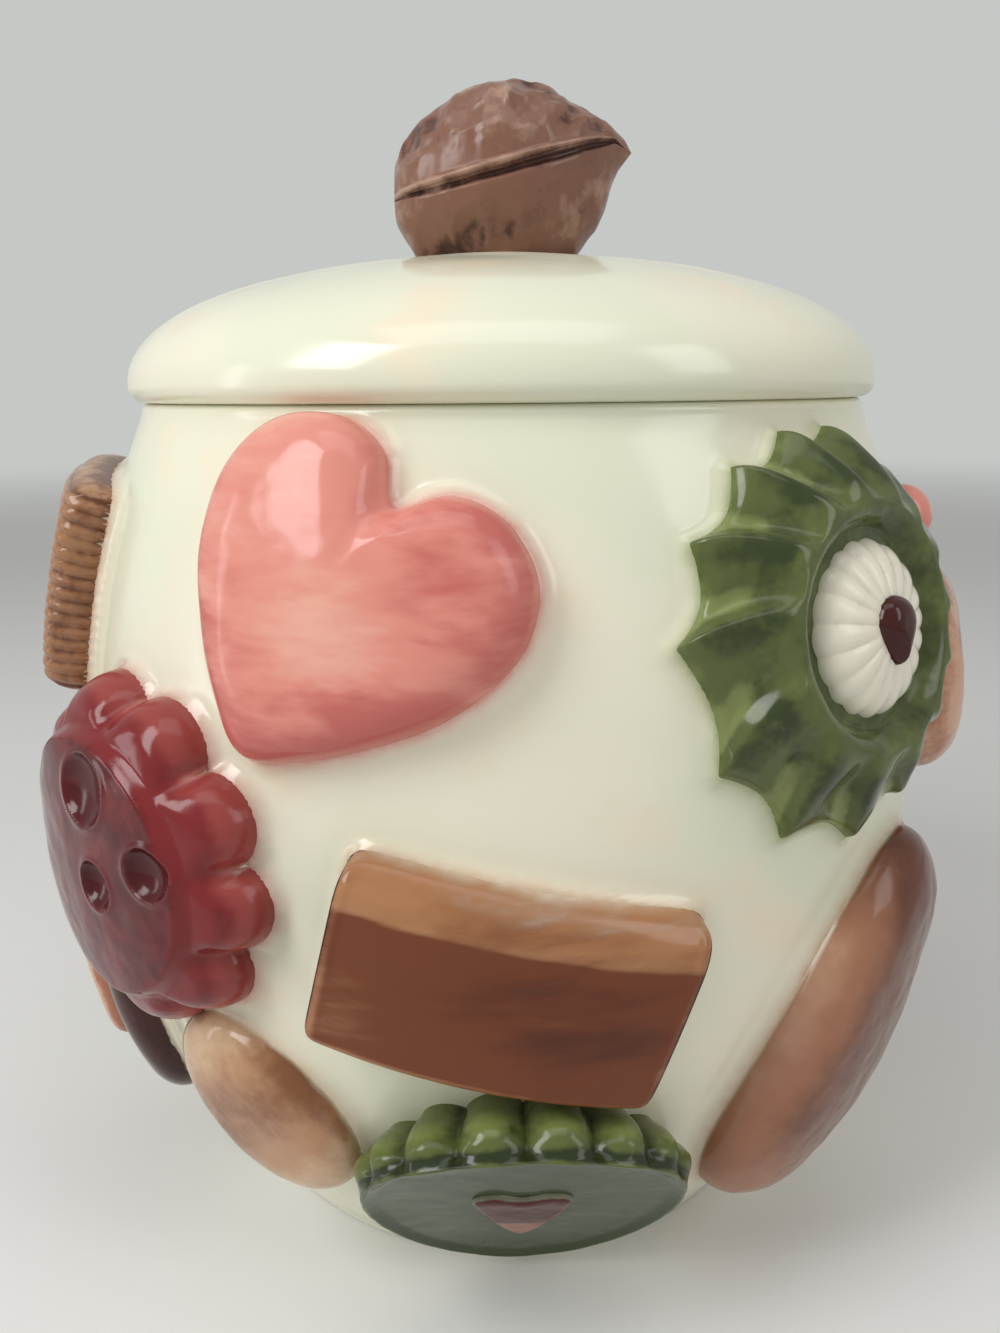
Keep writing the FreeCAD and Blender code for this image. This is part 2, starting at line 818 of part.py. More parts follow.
def save_wreath(outside):
    place = place_on_wall(wreath_spot)
    wreath_floor = flat_top(place, wreath_form(), wreath_shares, wreath_columns)
    button_top = wreath_floor + button_thickness * (1 - button_top_share ** button_softness) ** 0.5
    save(relief(place, wreath_form(), outside, wreath_columns, wreath_shares), "wreath_biscuit")
    save(topping(place, wreath_floor, button_form(), button_columns, button_shares), "icing_button")
    save(topping(place, button_top, almond_form()), "almond")


def save_tart(outside):
    save(jam_tart_case(outside), "jam_tart_case")
    save(topping(tart_place(), -tart_dish_depth, cherry_form()), "jam_tart_cherry")


def save_chocolate(outside):
    place = place_on_wall(chocolate_spot)
    chocolate_top = flat_top(place, chocolate_form(), chocolate_shares)
    save(relief(place, chocolate_form(), outside, plain_columns, chocolate_shares), "chocolate_biscuit")
    save(topping(place, chocolate_top, crescent_form()), "nut_crescent")


def save_back_reliefs(outside):
    save(relief(place_on_wall(back_heart_spot), heart_form(), outside), "back_heart_biscuit")
    save(relief(place_on_wall(back_oval_spot), oval_form(), outside), "back_oval_biscuit")
    wafer_place = place_on_wall(back_wafer_spot)
    save(relief(wafer_place, wafer_form(), outside, wafer_columns, wafer_shares), "back_wafer_biscuit")
    flower_place = place_on_wall(back_flower_spot)
    save(relief(flower_place, flower_form(), outside, flower_columns, flower_shares), "back_flower_biscuit")
    ring_place = place_on_wall(back_ring_spot)
    ring_floor = flat_top(ring_place, ring_form(), ring_shares)
    save(relief(ring_place, ring_form(), outside, plain_columns, ring_shares), "back_ring_biscuit")
    save(topping(ring_place, ring_floor, button_form(), button_columns, button_shares), "back_icing_button")


def main():
    outside = jar_outside()
    save(jar_body(outside), "jar_body")
    save(lid_shell(), "lid")
    upper, lower = walnut_halves()
    save(upper, "walnut_upper")
    save(lower, "walnut_lower")
    save_front_reliefs(outside)
    save_wreath(outside)
    save_tart(outside)
    save_chocolate(outside)
    save_back_reliefs(outside)


main()
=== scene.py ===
import math

import bpy
import numpy as np
from mathutils import Matrix


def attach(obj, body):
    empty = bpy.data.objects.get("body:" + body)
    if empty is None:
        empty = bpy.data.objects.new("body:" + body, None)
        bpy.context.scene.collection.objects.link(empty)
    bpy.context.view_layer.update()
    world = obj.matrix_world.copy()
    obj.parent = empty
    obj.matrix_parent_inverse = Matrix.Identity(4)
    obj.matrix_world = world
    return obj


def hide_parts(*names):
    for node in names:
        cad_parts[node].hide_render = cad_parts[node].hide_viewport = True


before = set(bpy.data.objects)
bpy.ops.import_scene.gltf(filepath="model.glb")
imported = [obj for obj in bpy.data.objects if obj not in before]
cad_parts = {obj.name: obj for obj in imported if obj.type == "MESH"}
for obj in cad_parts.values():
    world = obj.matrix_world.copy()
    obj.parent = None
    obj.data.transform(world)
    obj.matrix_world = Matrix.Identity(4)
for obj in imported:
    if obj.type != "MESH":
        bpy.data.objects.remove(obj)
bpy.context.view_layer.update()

# Sizes are in millimetres and angles in degrees unless a comment says otherwise
MM = 0.001

# Jar
BODY_RADIUS = 96.0
NECK_RADIUS = 79.6
FOOT_RADIUS = 63.0
SEAT_HEIGHT = 181.0
BELLY_HEIGHT = 0.583 * SEAT_HEIGHT
UPPER_FULLNESS = 2.05
LOWER_FULLNESS = 2.22
WALL = 6.0
FLOOR_RISE = 8.0
LIP_ROUNDING = 1.8
FOOT_RING_WIDTH = 6.0
FOOT_RECESS = 4.0
FOOT_ROUNDING = 1.4
MOUTH_RADIUS = NECK_RADIUS - WALL
JAR_COLUMNS = 720
JAR_WALL_RINGS = 240

# Lid
LID_RADIUS = NECK_RADIUS + 3.25
LID_EDGE = 3.4
LID_RISE = 30.4
LID_FULLNESS = 2.165
LID_WALL = 5.2
FLANGE_RADIUS = MOUTH_RADIUS - 1.8
FLANGE_INSIDE = FLANGE_RADIUS - 4.6
FLANGE_DEPTH = 12.0
LID_TOP = SEAT_HEIGHT + LID_RISE
PAD_RADIUS = 21.5
CROWN_FLAT = 0.45
PAD_HEIGHT = LID_TOP - CROWN_FLAT

# Where each relief sits: azimuth from the front towards +X, share of the seat height and lean
HEART_SPOT = (-17.2, 0.8315, 30.0)
WAFER_SPOT = (0.0, 0.4696, 13.5)
WREATH_SPOT = (40.6, 0.7779)
FLOWER_SPOT = (-45.6, 0.5442)
FINGER_SPOT = (47.0, 0.3149, 28.0)
OVAL_SPOT = (-32.0, 0.2655, 140.0)
RIDGED_SPOT = (-77.0, 0.8011, 8.0)
CHOCOLATE_SPOT = (-73.0, 0.300, -15.0)
ROUND_SPOT = (77.6, 0.6740)
DROP_SPOT = (69.0, 0.8646)
BACK_HEART_SPOT = (140.0, 0.8066, -20.0)
BACK_WAFER_SPOT = (178.0, 0.5083, -12.0)
BACK_RING_SPOT = (222.0, 0.7735)
BACK_FLOWER_SPOT = (118.0, 0.4309)
BACK_OVAL_SPOT = (232.0, 0.3646, 40.0)
FLOWER_TURN = math.radians(-8.0)

# Glaze that gathers round the reliefs: how high it climbs and how far out it reaches
POOL_RISE = 2.2
POOL_REACH = 5.5


def half_axis_for(rise, end_radius, fullness):
    return rise / (1 - (end_radius / BODY_RADIUS) ** fullness) ** (1 / fullness)


UPPER_HALF_AXIS = half_axis_for(SEAT_HEIGHT - BELLY_HEIGHT, NECK_RADIUS, UPPER_FULLNESS)
LOWER_HALF_AXIS = half_axis_for(BELLY_HEIGHT, FOOT_RADIUS, LOWER_FULLNESS)


# The bare wall. Points are arrays whose last axis is x, y and z.

def wall_oval(height):
    above = height >= BELLY_HEIGHT
    return np.where(above, UPPER_HALF_AXIS, LOWER_HALF_AXIS), np.where(above, UPPER_FULLNESS, LOWER_FULLNESS)


def wall_radius(height):
    half_axis, fullness = wall_oval(height)
    share = np.abs(height - BELLY_HEIGHT) / half_axis
    return BODY_RADIUS * (1 - share ** fullness) ** (1 / fullness)


def wall_excess(points):
    half_axis, fullness = wall_oval(points[..., 2])
    across = np.hypot(points[..., 0], points[..., 1]) / BODY_RADIUS
    along = np.abs(points[..., 2] - BELLY_HEIGHT) / half_axis
    return across ** fullness + along ** fullness - 1


def wall_gradient(points):
    half_axis, fullness = wall_oval(points[..., 2])
    distance = np.hypot(points[..., 0], points[..., 1])
    across = fullness / BODY_RADIUS * (distance / BODY_RADIUS) ** (fullness - 1)
    lift = points[..., 2] - BELLY_HEIGHT
    along = fullness / half_axis * (np.abs(lift) / half_axis) ** (fullness - 1)
    return np.stack([across * points[..., 0] / distance, across * points[..., 1] / distance,
                     np.copysign(along, lift)], axis=-1)


def wall_normal(points):
    gradient = wall_gradient(points)
    return gradient / np.linalg.norm(gradient, axis=-1, keepdims=True)


def drop_to_wall(points, outward):
    for step in range(12):
        slope = wall_gradient(points) @ outward
        points = points - outward * (wall_excess(points) / slope)[..., None]
    return points


class Place:
    """Where a relief sits: azimuth from the front towards +X, share of the seat height and lean."""

    def __init__(self, azimuth, height_share, lean=0.0):
        angle = math.radians(azimuth)
        height = height_share * SEAT_HEIGHT
        radius = float(wall_radius(height))
        self.origin = np.array([radius * math.sin(angle), -radius * math.cos(angle), height])
        self.outward = wall_normal(self.origin)
        level = np.array([math.cos(angle), math.sin(angle), 0.0])
        upright = np.cross(self.outward, level)
        turn = math.radians(lean)
        self.right = level * math.cos(turn) - upright * math.sin(turn)
        self.up = upright * math.cos(turn) + level * math.sin(turn)

    def local(self, points):
        shift = points - self.origin
        return shift @ self.right, shift @ self.up

    def raised(self, x, y, rise):
        flat = self.origin + x[..., None] * self.right + y[..., None] * self.up
        points = drop_to_wall(flat, self.outward)
        return points + wall_normal(points) * rise[..., None]

    def uneven(self, points, amount, size):
        """Points moved out or in by soft noise, as a hand-poured glaze leaves them."""
        return points + (amount * layered_noise(points, size))[..., None] * self.outward

    def flat(self, x, y, rise):
        """Points at a rise above the plane that touches the wall at the relief's middle."""
        return (self.origin + x[..., None] * self.right + y[..., None] * self.up
                + rise[..., None] * self.outward)


# Soft noise from a seeded lattice

LATTICE_SIZE = 32
LATTICE = np.random.default_rng(7).uniform(-1, 1, (LATTICE_SIZE,) * 3)


def soft_noise(points, size, shift=0.0):
    """Smooth noise from -1 to 1 with features of the given size."""
    place = points / size + shift
    base = np.floor(place).astype(int)
    part = place - base
    part = part * part * (3 - 2 * part)
    total = 0.0
    for corner in np.ndindex(2, 2, 2):
        weight = np.prod(np.where(corner, part, 1 - part), axis=-1)
        index = (base + corner) % LATTICE_SIZE
        total = total + weight * LATTICE[index[..., 0], index[..., 1], index[..., 2]]
    return total


def layered_noise(points, size, shift=0.0):
    return (soft_noise(points, size, shift) + 0.5 * soft_noise(points, size / 2.1, shift + 5.3)
            + 0.25 * soft_noise(points, size / 4.3, shift + 9.1)) / 1.75


def unit(value):
    return np.clip(value, 0, 1)


def ramp(low, high, value):
    """Smooth step from 0 at low to 1 at high, where low may be the larger one."""
    part = unit((value - low) / (high - low))
    return part * part * (3 - 2 * part)


def bell(value, centre, width):
    return np.exp(-((value - centre) / width) ** 2)


# Meshes

def mesh_piece(node, points, body, material, attributes):
    """Closed smooth mesh through rings of points, run into a point at both ends."""
    name = node + "_glazed"
    rings, columns = points.shape[:2]
    ends = [points[0].mean(axis=0), points[-1].mean(axis=0)]
    vertices = np.concatenate([points.reshape(-1, 3), ends]) * MM
    ring, column = np.meshgrid(np.arange(rings - 1), np.arange(columns), indexing="ij")
    low = ring * columns + column
    low_next = ring * columns + (column + 1) % columns
    quads = np.stack([low, low_next, low_next + columns, low + columns], axis=-1).reshape(-1, 4)
    first, last = rings * columns, rings * columns + 1
    fans = [(first, (i + 1) % columns, i) for i in range(columns)]
    top = (rings - 1) * columns
    fans += [(last, top + i, top + (i + 1) % columns) for i in range(columns)]
    mesh = bpy.data.meshes.new(name)
    mesh.from_pydata(vertices.tolist(), [], quads.tolist() + fans)
    for key, values in attributes.items():
        layer = mesh.attributes.new(key, "FLOAT", "POINT")
        flat = np.broadcast_to(values, (rings, columns))
        both = [flat[0].mean(), flat[-1].mean()]
        layer.data.foreach_set("value", np.concatenate([flat.reshape(-1), both]).astype(np.float32))
    mesh.polygons.foreach_set("use_smooth", [True] * len(mesh.polygons))
    mesh.materials.append(material)
    mesh.update()
    piece = bpy.data.objects.new(name, mesh)
    bpy.context.scene.collection.objects.link(piece)
    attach(piece, body)
    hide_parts(node)
    return piece


# Colours are written as they look on screen, from 0 to 255

def linear(red, green, blue):
    def one(value):
        share = value / 255
        return share / 12.92 if share <= 0.04045 else ((share + 0.055) / 1.055) ** 2.4
    return one(red), one(green), one(blue), 1.0


# Where a colour mix node keeps its colour sockets
MIX_FIRST, MIX_SECOND, MIX_RESULT = 6, 7, 2
GLAZE_IOR = 1.48


class Nodes:
    """Short way to build a material's nodes."""

    def __init__(self, name):
        self.material = bpy.data.materials.new(name)
        self.material.use_nodes = True
        self.tree = self.material.node_tree
        self.shader = self.tree.nodes["Principled BSDF"]
        coordinates = self.new("TexCoord")
        self.place = coordinates.outputs["Object"]

    def new(self, kind, **settings):
        node = self.tree.nodes.new("ShaderNode" + kind)
        for key, value in settings.items():
            node.inputs[key].default_value = value
        return node

    def link(self, source, target):
        self.tree.links.new(source, target)

    def feed(self, value, socket):
        if hasattr(value, "links"):
            self.link(value, socket)
        else:
            socket.default_value = value

    def noise(self, size, detail=3.0, stretch=(1, 1, 1), distortion=0.0, seed=0.0):
        """Noise from about 0.3 to 0.7 with features of the given size in millimetres."""
        mapping = self.new("Mapping", Scale=stretch, Location=(seed, seed, seed))
        self.link(self.place, mapping.inputs["Vector"])
        node = self.new("TexNoise", Scale=1 / (size * MM), Detail=detail, Distortion=distortion)
        self.link(mapping.outputs["Vector"], node.inputs["Vector"])
        return node.outputs["Fac"]

    def attribute(self, name):
        node = self.new("Attribute")
        node.attribute_name = name
        return node.outputs["Fac"]

    def math(self, operation, first, second):
        node = self.new("Math")
        node.operation = operation
        self.feed(first, node.inputs[0])
        self.feed(second, node.inputs[1])
        return node.outputs[0]

    def plus(self, first, second, weight):
        return self.math("ADD", first, self.math("MULTIPLY", second, weight))

    def span(self, value, low, high, to_low=0.0, to_high=1.0, kind="SMOOTHSTEP"):
        node = self.new("MapRange")
        node.interpolation_type = kind
        self.link(value, node.inputs["Value"])
        for key, number in zip(("From Min", "From Max", "To Min", "To Max"), (low, high, to_low, to_high)):
            node.inputs[key].default_value = number
        return node.outputs["Result"]

    def mix(self, amount, first, second):
        node = self.new("Mix")
        node.data_type = "RGBA"
        self.link(amount, node.inputs["Factor"])
        self.feed(first, node.inputs[MIX_FIRST])
        self.feed(second, node.inputs[MIX_SECOND])
        return node.outputs[MIX_RESULT]

    def bump(self, height, depth, normal=None):
        node = self.new("Bump", Strength=1.0, Distance=depth * MM)
        self.link(height, node.inputs["Height"])
        if normal is not None:
            self.link(normal, node.inputs["Normal"])
        return node.outputs["Normal"]

    def gloss(self, roughness=0.13, spread=0.08, ripple=0.10, grain=0.012):
        """Glassy skin with a slow ripple and a fine orange-peel grain."""
        patch = self.noise(22.0, 2.0, seed=3.1)
        self.link(self.span(patch, 0.35, 0.7, roughness, roughness + spread), self.shader.inputs["Roughness"])
        self.shader.inputs["IOR"].default_value = GLAZE_IOR
        slow = self.bump(self.noise(14.0, 2.0, seed=1.7), ripple)
        self.link(self.bump(self.noise(1.1, 2.0, seed=8.2), grain, slow), self.shader.inputs["Normal"])

    def finish(self, colour):
        self.link(colour, self.shader.inputs["Base Color"])
        return self.material


CREAM = linear(236, 232, 210)
CREAM_WARM = linear(238, 226, 200)
CREAM_COOL = linear(226, 228, 204)


def cream_colour(nodes):
    """Cream glaze, a little greener or warmer from place to place, with iron specks."""
    wash = nodes.mix(nodes.span(nodes.noise(70.0, 2.0), 0.38, 0.62), CREAM_COOL, CREAM)
    wash = nodes.mix(nodes.span(nodes.noise(24.0, 3.0, seed=2.4), 0.55, 0.75), wash, CREAM_WARM)
    return wash


SPECK_SPACING = 26.0
SPECK_SIZE = 0.0022
SPECK_COLOUR = linear(92, 70, 50)


def speckled(nodes, colour):
    """A few tiny brown specks in the glaze."""
    cells = nodes.new("TexVoronoi", Scale=1 / (SPECK_SPACING * MM))
    nodes.link(nodes.place, cells.inputs["Vector"])
    dot = nodes.span(cells.outputs["Distance"], SPECK_SIZE * 8, SPECK_SIZE * 14, 1.0, 0.0)
    return nodes.mix(dot, colour, SPECK_COLOUR)


def cream_glaze():
    nodes = Nodes("cream_glaze")
    colour = speckled(nodes, cream_colour(nodes))
    tint = nodes.new("Attribute")
    tint.attribute_name = "bleed_colour"
    strength = nodes.attribute("bleed")
    ragged = nodes.span(nodes.noise(3.2, 3.0, seed=4.0), 0.3, 0.7, -0.18, 0.18, "LINEAR")
    strength = nodes.math("MAXIMUM", nodes.plus(strength, ragged, strength), 0.0)
    colour = nodes.mix(strength, colour, tint.outputs["Color"])
    nodes.gloss()
    return nodes.finish(colour)


PAINTED_SPECULAR = 0.33


def painted(name, base, deep, pale, accent=None, streak=(1, 1, 1), blotch=9.0, edge_width=0.22,
            edge_colour=None, roughness=0.12, mottle=0.5):
    """Coloured glaze. The mesh gives the painted masks: deep, pale, accent and edge; on some reliefs these
    masks also carry painted shade, painted light and painted reflection.
    """
    nodes = Nodes(name)
    brushed = nodes.noise(blotch, 4.0, stretch=streak, distortion=0.4)
    fine = nodes.noise(blotch / 4, 4.0, stretch=streak, seed=6.0)
    grain = nodes.plus(nodes.math("MULTIPLY", brushed, 0.7), fine, 0.3)
    wander = nodes.span(grain, 0.3, 0.7, -mottle, mottle, "LINEAR")
    deep_amount = nodes.plus(nodes.attribute("deep"), wander, 0.8)
    colour = nodes.mix(nodes.span(deep_amount, 0.15, 0.95), linear(*base), linear(*deep))
    pale_amount = nodes.plus(nodes.attribute("pale"), wander, -0.6)
    colour = nodes.mix(nodes.span(pale_amount, 0.2, 0.95), colour, linear(*pale))
    if accent is not None:
        accent_amount = nodes.plus(nodes.attribute("accent"), wander, 0.35)
        colour = nodes.mix(nodes.span(accent_amount, 0.3, 0.8), colour, linear(*accent))
    rim = linear(*edge_colour) if edge_colour else cream_colour(nodes)
    ragged = nodes.plus(nodes.attribute("edge"), wander, 0.5)
    colour = nodes.mix(nodes.span(ragged, 0.5 - edge_width, 0.5 + edge_width), colour, rim)
    nodes.gloss(roughness)
    nodes.shader.inputs["Specular IOR Level"].default_value = PAINTED_SPECULAR
    return nodes.finish(colour)


# Outlines and ring spacing

def polar(radius, angle):
    return radius * np.cos(angle), radius * np.sin(angle)


def outline_oval(half_length, half_width, fullness, turn):
    angle = 2 * math.pi * turn
    across = np.abs(np.cos(angle)) / half_width
    along = np.abs(np.sin(angle)) / half_length
    radius = (across ** fullness + along ** fullness) ** (-1 / fullness)
    return polar(radius, angle)


def outline_loop(points, turn):
    """Smooth closed curve through the points, which run anticlockwise."""
    loop = np.array(points)
    place = (turn % 1) * len(loop)
    index = np.floor(place).astype(int)
    part = (place - index)[..., None]
    a, b, c, d = (loop[(index + shift) % len(loop)] for shift in (-1, 0, 1, 2))
    curve = 0.5 * (2 * b + (c - a) * part + (2 * a - 5 * b + 4 * c - d) * part ** 2
                   + (3 * b - a - 3 * c + d) * part ** 3)
    return curve[..., 0], curve[..., 1]


def oval_shape(half_length, half_width, fullness=2.0):
    return lambda turn: outline_oval(half_length, half_width, fullness, turn)


def mirrored_shape(half_points):
    """Outline whose right half runs from the top to the bottom through the points."""
    left = [(-x, y) for x, y in half_points[1:-1]]
    points = list(reversed(half_points)) + left
    return lambda turn: outline_loop(points, turn - 0.25)


def share_rings(count, power=1.9, last=0.01):
    """Shares from 1 at the outline to almost 0, close together near the outline."""
    return 1 - (1 - last) * np.linspace(0, 1, count) ** power


def depth_inside(x, y, outline_x, outline_y):
    """Distance of each point from the outline."""
    starts = np.stack([outline_x, outline_y], axis=-1)
    steps = np.roll(starts, -1, axis=0) - starts
    squares = (steps ** 2).sum(axis=-1) + 1e-9
    flat = np.stack([x, y], axis=-1).reshape(-1, 2)
    best = np.full(len(flat), np.inf)
    for start, step, square in zip(starts, steps, squares):
        shift = flat - start
        part = unit(shift @ step / square)
        best = np.minimum(best, np.hypot(shift[:, 0] - part * step[0], shift[:, 1] - part * step[1]))
    return best.reshape(x.shape)


def shoulder(depth, width, fullness=2.0):
    """Rounded side from 0 at the outline to 1 at the given width inside it."""
    part = unit(1 - depth / width)
    return (1 - part ** fullness) ** (1 / fullness)


OUTLINE_POINTS = 180
ROOT_DEPTH = 1.5
pools = []


def turns(columns):
    return np.linspace(0, 1, columns, endpoint=False)[None, :]


def angles(columns):
    return np.linspace(0, 2 * math.pi, columns, endpoint=False)[None, :]


def wall_piece(node, slot, place, points, x, y, masks, material, *pool):
    """Piece closed by a ring sunk below its edge, and its pool of glaze for the jar's skin."""
    root = place.raised(x[:1], y[:1], np.full_like(x[:1], -ROOT_DEPTH))
    spread = {key: np.broadcast_to(value, x.shape) for key, value in masks.items()}
    full = {key: np.concatenate([value[:1], value]) for key, value in spread.items()}
    pools.append((place,) + pool)
    mesh_piece(node, np.concatenate([root, points]), "jar", material, full)


def relief(node, slot, place, outline, rise_for, masks_for, material, bleed=None,
           rings=90, columns=360, wobble=0.25, pool=1.0, pool_reach=POOL_REACH, softening=0):
    """Dense relief on the wall over an outline, with a pool of glaze round it."""
    turn = turns(columns)
    share = share_rings(rings)[:, None]
    edge_x, edge_y = outline(turn)
    x, y = share * edge_x, share * edge_y
    coarse_x, coarse_y = outline(np.linspace(0, 1, OUTLINE_POINTS, endpoint=False))
    depth = depth_inside(x, y, coarse_x, coarse_y)
    depth[0] = 0.0
    rise = rise_for(x, y, share, depth)
    for smoothing in range(softening):
        around = np.roll(rise, 1, axis=1) + np.roll(rise, -1, axis=1)
        rise[1:-1] = 0.5 * rise[1:-1] + 0.125 * (around[1:-1] + rise[:-2] + rise[2:])
    points = place.raised(x, y, rise)
    points = place.uneven(points, wobble * ramp(0, 3, depth), 11.0)
    masks = {"deep": 0.0, "pale": 0.0, "accent": 0.0, "edge": 1 - ramp(0.3, 1.8, rise)}
    masks.update(masks_for(x, y, share, depth, rise))
    wall_piece(node, slot, place, points, x, y, masks, material, coarse_x, coarse_y, pool, pool_reach, bleed)


# Heart: puffy, with a deep notch

HEART_THICKNESS = 10.0
HEART_SIDE = 9.5
HEART_SOFTENING = 220
HEART_HALF = ((0.0, 17.0), (6.8, 23.6), (16.4, 24.6), (26.0, 18.8), (29.8, 7.8), (26.4, -5.8),
              (18.2, -17.4), (9.1, -26.5), (0.0, -31.8))


def puffy(thickness, width, crown=0.12, fullness=2.3):
    """Rise of a cushion: a rounded side of the given width and a gentle crown."""
    def rise_for(x, y, share, depth):
        side = shoulder(depth, width, fullness)
        return thickness * side * (1 - crown * share ** 2)
    return rise_for


def heart(node, place):
    def masks(x, y, share, depth, rise):
        strokes = layered_noise(np.stack([x * 0.35, y * 1.4, 0 * x], axis=-1), 9.0, 2.0)
        # Painted shade: darker towards the bottom and towards the right side
        lower = ramp(8, -22, y) * 0.45 + ramp(0, 14, x) * 0.35
        middle = np.exp(-((x - 3) ** 2 + (y + 4) ** 2) / 10.0 ** 2)
        rim = ramp(8, 2, depth) * 0.35
        # Painted light: the pale mask grows towards the left side
        return {"deep": unit(lower + rim + 0.5 * strokes - 0.5 * middle),
                "pale": unit(0.85 * middle + 0.35 * ramp(0, -20, x) - 0.2 * strokes)}
    relief(node, "pink_glaze", place, mirrored_shape(HEART_HALF),
           puffy(HEART_THICKNESS, HEART_SIDE), masks, HEART_GLAZE, bleed=(214, 132, 124),
           wobble=0.35, softening=HEART_SOFTENING)


# Wafer: an oblong slab with a broad bevel

WAFER_HALF_LENGTH = 30.8
WAFER_HALF_WIDTH = 18.6


def wafer_end(x, y):
    """Distance from the nearer end; the right end leans in a little towards the bottom."""
    lean = np.where(x > 0, 0.95 + 0.05 * y / WAFER_HALF_WIDTH, 1.0)
    return np.maximum(WAFER_HALF_LENGTH * lean - np.abs(x), 0)


def wafer(node, place):
    def outline(turn):
        x, y = outline_oval(WAFER_HALF_WIDTH, WAFER_HALF_LENGTH, 12.0, turn)
        return np.where(x > 0, x * (0.95 + 0.05 * y / WAFER_HALF_WIDTH), x), y

    def rise_for(x, y, share, depth):
        from_end = wafer_end(x, y)
        top = 1.6 + 7.0 * shoulder(np.maximum(WAFER_HALF_WIDTH - y, 0), 10.5, 1.8)
        low = 3.0 + 5.6 * shoulder(np.maximum(WAFER_HALF_WIDTH + y, 0), 3.4, 2.2)
        end = 2.5 + 6.6 * shoulder(from_end, 1.9, 2.6)
        lip = 0.5 * bell(from_end, 1.7, 0.9)
        blend = -np.log(np.exp(-1.6 * top) + np.exp(-1.6 * low) + np.exp(-1.6 * end)) / 1.6
        return np.minimum(blend, 7.9) * ramp(-0.6, 0.9, depth) + lip * ramp(1, 3, depth)

    def masks(x, y, share, depth, rise):
        end = wafer_end(x, y)
        from_low = WAFER_HALF_WIDTH + y
        sides = 1.3 * ramp(1.5, 0.6, end) * ramp(18.4, 16, y) * ramp(-18.4, -15, y)
        low_line = 0.8 * ramp(0.9, 0.2, from_low) * ramp(-28, 10, x)
        top_band = 0.75 * ramp(8.8, 10.6, y)
        low_band = 0.5 * ramp(3.2, 2.0, from_low) + 0.3 * ramp(3.0, 1.6, end)
        washed = low_band + 0.3 * ramp(-10, -26, x) * ramp(4, -12, y)
        glow = bell(y, -2, 9.0) * bell(x, 10, 22.0)
        return {"deep": unit(0.8 * glow - washed), "pale": unit(np.maximum(top_band, washed)),
                "accent": unit(sides + low_line),
                "edge": 0.22 * ramp(13.0, 17.0, y) + 0.5 * ramp(17.6, 19.6, y)}
    relief(node, "wafer_glaze", place, outline, rise_for, masks, WAFER_GLAZE,
           bleed=(204, 172, 138), rings=120, columns=480, wobble=0.15, pool=0.8, pool_reach=4.0)


# Wreath biscuit: a ring with fourteen pointed, twisted flutes round a sunk middle

WREATH_RADIUS = 37.4
WREATH_TIP_ANGLES = (13.0, 38.9, 55.8, 81.9, 102.5, 124.1, 149.3, 176.8, 213.2, 242.0, 270.0, 296.0,
                     322.0, 347.0)
WREATH_NOTCH = 4.2
WREATH_CREST_SHARE = 0.56
WREATH_HOLLOW_SHARE = 0.455
WREATH_TWIST = 0.5
BUTTON_RADIUS = WREATH_HOLLOW_SHARE * WREATH_RADIUS - 1.0
BUTTON_LOW = 4.6
BUTTON_FLUTES = 18
ALMOND_LOW = BUTTON_LOW + 5.8
ALMOND_HALF = ((0.0, 5.6), (3.4, 4.4), (4.9, 0.8), (3.2, -3.4), (0.0, -6.6))


def wreath_phase(angle):
    """Place within a flute, from 0 at its root to 1 at its tip, going clockwise."""
    tips = np.array(WREATH_TIP_ANGLES)
    around = np.concatenate([tips - 360, tips, tips + 360])
    return -np.interp(np.degrees(angle) % 360, around, np.arange(len(around)))


def flute_wave(phase, drop=0.22):
    """Hump that is highest at each tip, falls off steeply clockwise and climbs again slowly."""
    place = phase % 1.0
    return np.where(place < drop, np.cos(math.pi / 2 * place / drop) ** 2,
                    np.sin(math.pi / 2 * (place - drop) / (1 - drop)) ** 1.3)


def blurred(values, width):
    """Values smoothed round each ring over the given number of columns."""
    weights = np.hanning(width + 2)[1:-1]
    total = sum(w * np.roll(values, i - width // 2, axis=-1) for i, w in enumerate(weights))
    return total / weights.sum()


